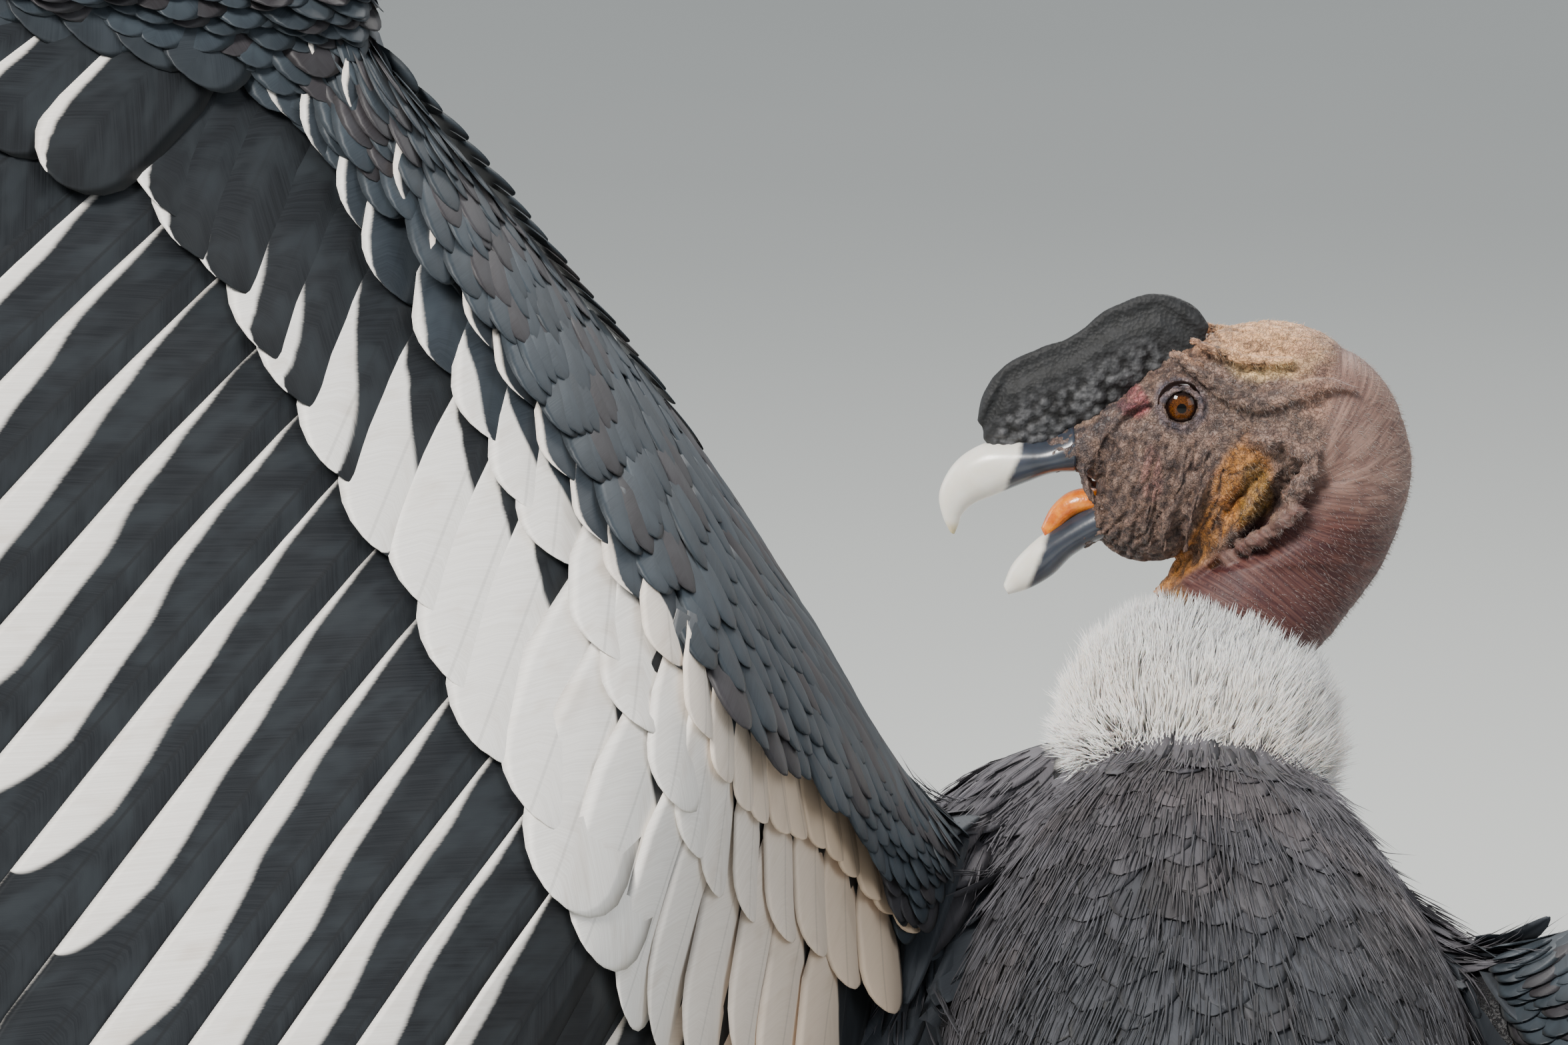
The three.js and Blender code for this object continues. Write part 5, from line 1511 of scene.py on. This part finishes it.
def in_ruff(spot, normal):
    off = spot - RUFF_FOOT
    rise = (off * RUFF_AXIS).sum(1)
    return (rise > 14) & (np.linalg.norm(off - RUFF_AXIS * rise[:, None], axis=1) < 38)


def down_the_back(spot, by_t):
    sideways = np.zeros_like(spot)
    sideways[:, 0] = 0.75 * np.clip(spot[:, 0] / 75, -1, 1)
    return sideways - by_t


body_coat("body_coat", trunk, (0.03, 0.95), 54, 14.0, (42.0, 14.0), down_the_back, mantle_hue_and_sunlight, in_ruff)
for way in (-1, 1):
    body_coat(NAMES[way] + "_thigh_coat", thigh(way, -4), (0.03, 0.92), 22, 14.0, (40.0, 12.0),
              lambda spot, by_t: by_t, lambda spot: hues(len(spot), tint(40, 40, 44), 0.25))
for arm in (LEFT_ARM, RIGHT_ARM):
    inward_way = unit(np.array(arm["inner_trail"]))
    shoulder_face = quill_row(arm)(0.4)["face"][0]

    def under_the_wing(spot, normal):
        return normal @ shoulder_face < 0.1

    side_name = NAMES[arm["side"]]
    saddle = saddles[arm["side"]]
    body_coat(side_name + "_saddle_coat", saddle, (0.08, 0.78), 13, 12.0, (44.0, 13.0),
              lambda spot, by_t: np.tile(inward_way, (len(spot), 1)) + by_t * 0.8, mantle_hue_and_sunlight, in_ruff)
    body_coat(side_name + "_scapulars", saddle, (0.4, 0.97), 12, 9.0, (66.0, 9.5),
              lambda spot, by_t: np.tile(inward_way, (len(spot), 1)) + by_t * 0.15,
              lambda spot: hues(len(spot), tint(52, 56, 62), 0.2), under_the_wing, 0, 6.0)

# The tail: a fan of twelve stiff black feathers that stand in the tail root, each half under
# the next one nearer to the middle, with their coverts above and below.
def fan(count, lift, level_step, length, half, spread, hue):
    spot = np.arange(count) - (count - 1) / 2
    angle = np.radians(spot / count * spread)
    level = lift - level_step * (np.abs(spot) + (spot > 0) * 0.5)
    root = TAIL_ROOT + TAIL_WAY * 4 + TAIL_FACE * level[:, None]
    root[:, 0] = spot * 5 * 12 / max(count, 12)
    along = TAIL_WAY * np.cos(angle)[:, None] + np.array([1, 0, 0]) * np.sin(angle)[:, None]
    reach = length * (1 - 0.012 * (spot * 12 / count) ** 2)
    return {
        "root": root, "along": along, "face": np.tile(TAIL_FACE, (count, 1)),
        "out": np.tile([1.0, 0, 0], (count, 1)), "length": reach, "outer": half, "inner": half,
        "cup": 2.0, "droop": reach * TAIL_DROOP, "thickness": 0.8,
        "luck": chance.uniform(size=count), "hue": hue,
    }


TAIL_DROOP = 0.03
TAIL_LENGTH = 345.0
TAIL_COUNT = 12
TAIL_COVERTS = {
    "upper_tail_coverts": (14, 130.0, 24.0),
    "upper_tail_coverts_2": (18, 84.0, 22.0),
    "under_tail_coverts": (-12, 112.0, 26.0),
}
TAIL_COVERT_COUNT = 9
batch = fan(TAIL_COUNT, 4, 2.6, TAIL_LENGTH, 27.0, 30, hues(TAIL_COUNT, DARK, 0.15))
mesh = blades("tail_feathers", batch, SECONDARY_SHAPE, FLIGHT_COLUMNS, 1.2)
finish(mesh, flight_stuff, nodes=("tail",))
for tract, (lift, length, half) in TAIL_COVERTS.items():
    hue = hues(TAIL_COVERT_COUNT, tint(32, 34, 38), 0.2)
    batch = fan(TAIL_COVERT_COUNT, lift, 1.6, length, half, 40, hue)
    mesh = blades(tract, batch, COVERT_SHAPE, COVERT_COLUMNS, 0.5)
    finish(mesh, covert_stuff)

# The ruff: a thick collar of fine white down round the foot of the neck, lying up the neck at
# its top and falling over the mantle at its foot.
down, down_shader = new_material("white down", 0.85, Sheen_Weight=0.5, Sheen_Roughness=0.6,
                                 Subsurface_Weight=0.2, Subsurface_Scale=0.004)
down_base = attribute(down, "hue", "Color")
down_tone = grain(down, own_place(down), 90, 3.0)
join(down, mixed(down, eased(down, down_tone, 0.35, 0.7, 0.0, 0.18), down_base, tint(170, 150, 130)),
     down_shader.inputs["Base Color"])
RUFF_LINE = [-0.42, -0.2, -0.05, 0.12, 0.45, 0.75, 0.95, 1.12, 1.3]
RUFF_WIDE = [45, 50, 52, 53, 53, 48, 42, 35, 28]
RUFF_CLIMB = [-72, -62, -30, 20, 50, 60, 66, 74, 80]
RUFF_LONG = [15, 13, 11, 13, 18, 19, 18, 16, 13]
RUFF_WARM = [0, 0, 0.1, 0.3, 1, 0.6, 0.2, 0.1, 0]
RUFF_WHITE = np.array(tint(242, 240, 238))
RUFF_CREAM = np.array(tint(232, 214, 196))
RUFF_PIECES = 4
RUFF_TUFTS = 7500
CLUMP_SEED = 7
noise.seed_set(CLUMP_SEED)
ruff_side = unit(np.cross(RUFF_AXIS, [0, 1, 0]))
ruff_front = np.cross(RUFF_AXIS, ruff_side)
for number in range(RUFF_PIECES):
    level = chance.uniform(-0.42, 1.3, RUFF_TUFTS)
    bearing = chance.uniform(0, 2 * math.pi, RUFF_TUFTS)
    outward_way = ruff_side * np.cos(bearing)[:, None] + ruff_front * np.sin(bearing)[:, None]
    wide = np.interp(level, RUFF_LINE, RUFF_WIDE)
    root = RUFF_FOOT + (RUFF_TOP - RUFF_FOOT) * level[:, None] + outward_way * wide[:, None]
    climb = np.radians(np.interp(level, RUFF_LINE, RUFF_CLIMB))
    clump = np.array([noise.noise_vector(Vector(p) / 9) for p in root])
    along = outward_way * np.cos(climb)[:, None] + RUFF_AXIS * np.sin(climb)[:, None]
    curly = np.interp(level, [-0.1, 0.05, 0.3], [0.14, 0.26, 0.1])[:, None]
    along = unit(along + clump * 0.45 + chance.normal(0, 1, (RUFF_TUFTS, 3)) * curly)
    facing = unit(outward_way + RUFF_AXIS * 0.3)
    length = np.interp(level, RUFF_LINE, RUFF_LONG) * chance.uniform(0.7, 1.2, RUFF_TUFTS)
    warm = chance.uniform(0, 0.8, (RUFF_TUFTS, 1)) * np.interp(level, RUFF_LINE, RUFF_WARM)[:, None]
    hue = RUFF_WHITE * (1 - warm) + RUFF_CREAM * warm
    flat = np.stack([0.02 + 0.94 * bearing / (2 * math.pi), 0.03 + 0.5 * (level + 0.42)], axis=1)
    batch = {
        "root": root - outward_way * 2, "along": along, "face": facing, "out": np.cross(facing, along),
        "length": length, "outer": chance.uniform(0.35, 0.65, RUFF_TUFTS),
        "droop": length * chance.uniform(-0.05, 0.3, RUFF_TUFTS), "luck": chance.uniform(size=RUFF_TUFTS),
        "hue": hue * chance.uniform(0.9, 1.03, (RUFF_TUFTS, 1)), "flat": flat,
    }
    mesh = needles(f"ruff_down_{number + 1}", batch)
    finish(mesh, down, ("ruff",))

# The fuzz: short sparse bristles of dark and pale hair-like feather that grow out of the bare
# skin of the crown, the nape and the neck.
FUZZ_COUNT = 11000
picked = chance.choice(np.flatnonzero(on_head & (forward < -12) & (upward > -100)), FUZZ_COUNT, replace=False)
fuzz_root = drawn[picked]
fuzz_face = skin_normals[picked]
fuzz_way = unit(fuzz_face * 0.7 + np.array([0.55, 0, -0.4]) + chance.normal(0, 0.25, fuzz_face.shape))
flat = np.stack([0.5 - forward[picked] / 240, 0.7 + upward[picked] / 240], axis=1)
batch = {
    "root": fuzz_root - fuzz_face * 0.3, "along": fuzz_way, "face": fuzz_face,
    "out": np.cross(fuzz_face, fuzz_way), "length": chance.uniform(1.4, 3.2, FUZZ_COUNT), "outer": 0.09,
    "droop": 0.3, "luck": chance.uniform(size=FUZZ_COUNT), "flat": flat,
    "hue": np.clip(paint[picked] * chance.uniform(0.6, 1.5, (FUZZ_COUNT, 1)), 0, 1),
}
mesh = needles("neck_fuzz", batch)
finish(mesh, down)

# The feet: grey shanks of horny scales over bone, with three long toes forward and a short one
# behind, flat on the floor, and a blunt dark claw of horn on each toe.
ANKLE_HEIGHT = 132
FOOT_Y = -52
TARSUS_RADIUS = 10.5
TOE_RADIUS = 8.5
KNUCKLES = 9
scale_skin, scale_shader = new_material("foot scales", 0.55)
scale_place = own_place(scale_skin)
plates = cells(scale_skin, scale_place, 260, "DISTANCE_TO_EDGE")
scale_tone = grain(scale_skin, scale_place, 90, 3.0)
scale_base = mixed(scale_skin, eased(scale_skin, scale_tone, 0.3, 0.7), tint(78, 76, 77), tint(112, 108, 105))
join(scale_skin, mixed(scale_skin, eased(scale_skin, plates, 0.02, 0.12), tint(48, 46, 46), scale_base),
     scale_shader.inputs["Base Color"])
relief(scale_skin, scale_shader, eased(scale_skin, plates, 0.0, 0.2), 0.9, 0.8)
claw_horn, claw_shader = new_material("claw horn", 0.32, Coat_Weight=0.2)
claw_tone = grain(claw_horn, own_place(claw_horn), 160, 3.0)
join(claw_horn, mixed(claw_horn, claw_tone, tint(28, 26, 26), tint(66, 60, 56)),
     claw_shader.inputs["Base Color"])
relief(claw_horn, claw_shader, claw_tone, 0.2, 0.5)
for way in (-1, 1):
    side_name = NAMES[way]
    x = way * HIP_SPREAD
    forms = [tube(limb([
        (x, -96, 150, 10, 9), (x, -96, ANKLE_HEIGHT, 14, 12), (x, -88, 110, 11, 10),
        (x, -70, 70, TARSUS_RADIUS, 9), (x, FOOT_Y - 4, 34, 12, 11), (x, FOOT_Y, 16, 16, 14),
        (x, FOOT_Y + 2, 8, 12, 12),
    ], (0, 1, 0)), 24, 40)]
    toes = [(0, 104, TOE_RADIUS), (32 * way, 76, TOE_RADIUS * 0.9), (-30 * way, 70, TOE_RADIUS * 0.92),
            (172 * way, 42, TOE_RADIUS * 0.8)]
    for number, (bearing, length, radius) in enumerate(toes, 1):
        angle = math.radians(90 - bearing)
        ahead = np.array([math.cos(angle), math.sin(angle), 0])
        lift = radius - 1.2

        def toe_at(distance, height, deep, wide):
            return (*(np.array([x, FOOT_Y, height]) + ahead * distance), deep, wide)

        line = []
        for k in range(KNUCKLES * 2 + 1):
            part = k / (KNUCKLES * 2)
            swell = (1 + 0.05 * (-1) ** k) * np.interp(part, [0, 0.6, 0.9, 1], [1, 0.94, 0.8, 0.5])
            rise = np.interp(part, [0, 0.3, 0.6, 1], [5, 1.5, 0, 0.2])
            line.append(toe_at(length * part, lift + rise, radius * swell, radius * swell))
        forms.append(tube(limb(line, (0, 0, 1)), 20, 50))
        toe_end = length * 1.02
        claw = tube(limb([
            toe_at(length * 0.9, lift, 5.5, 4.2), toe_at(toe_end, lift + 1.5, 5, 3.8),
            toe_at(toe_end + 12, lift + 0.5, 3.6, 2.8), toe_at(toe_end + 21, lift - 3.5, 1.4, 1.2),
        ], (0, 0, 1)), 16, 16)
        for vert in claw.vertices:
            vert.co.z = max(vert.co.z, 0.0002)
        claw_piece = stand_in_scene(f"{side_name}_talon_{number}", claw, claw_horn)
        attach(claw_piece, "root")
        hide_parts(f"{side_name}_claw_{number}")
    foot_mesh = fused(side_name + "_scaled_foot", forms, 1.6, 2)
    for vert in foot_mesh.vertices:
        vert.co.z = max(vert.co.z, 0.0)
    foot_piece = stand_in_scene(side_name + "_scaled_foot", foot_mesh, scale_skin)
    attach(foot_piece, "root")
    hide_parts(side_name + "_foot")
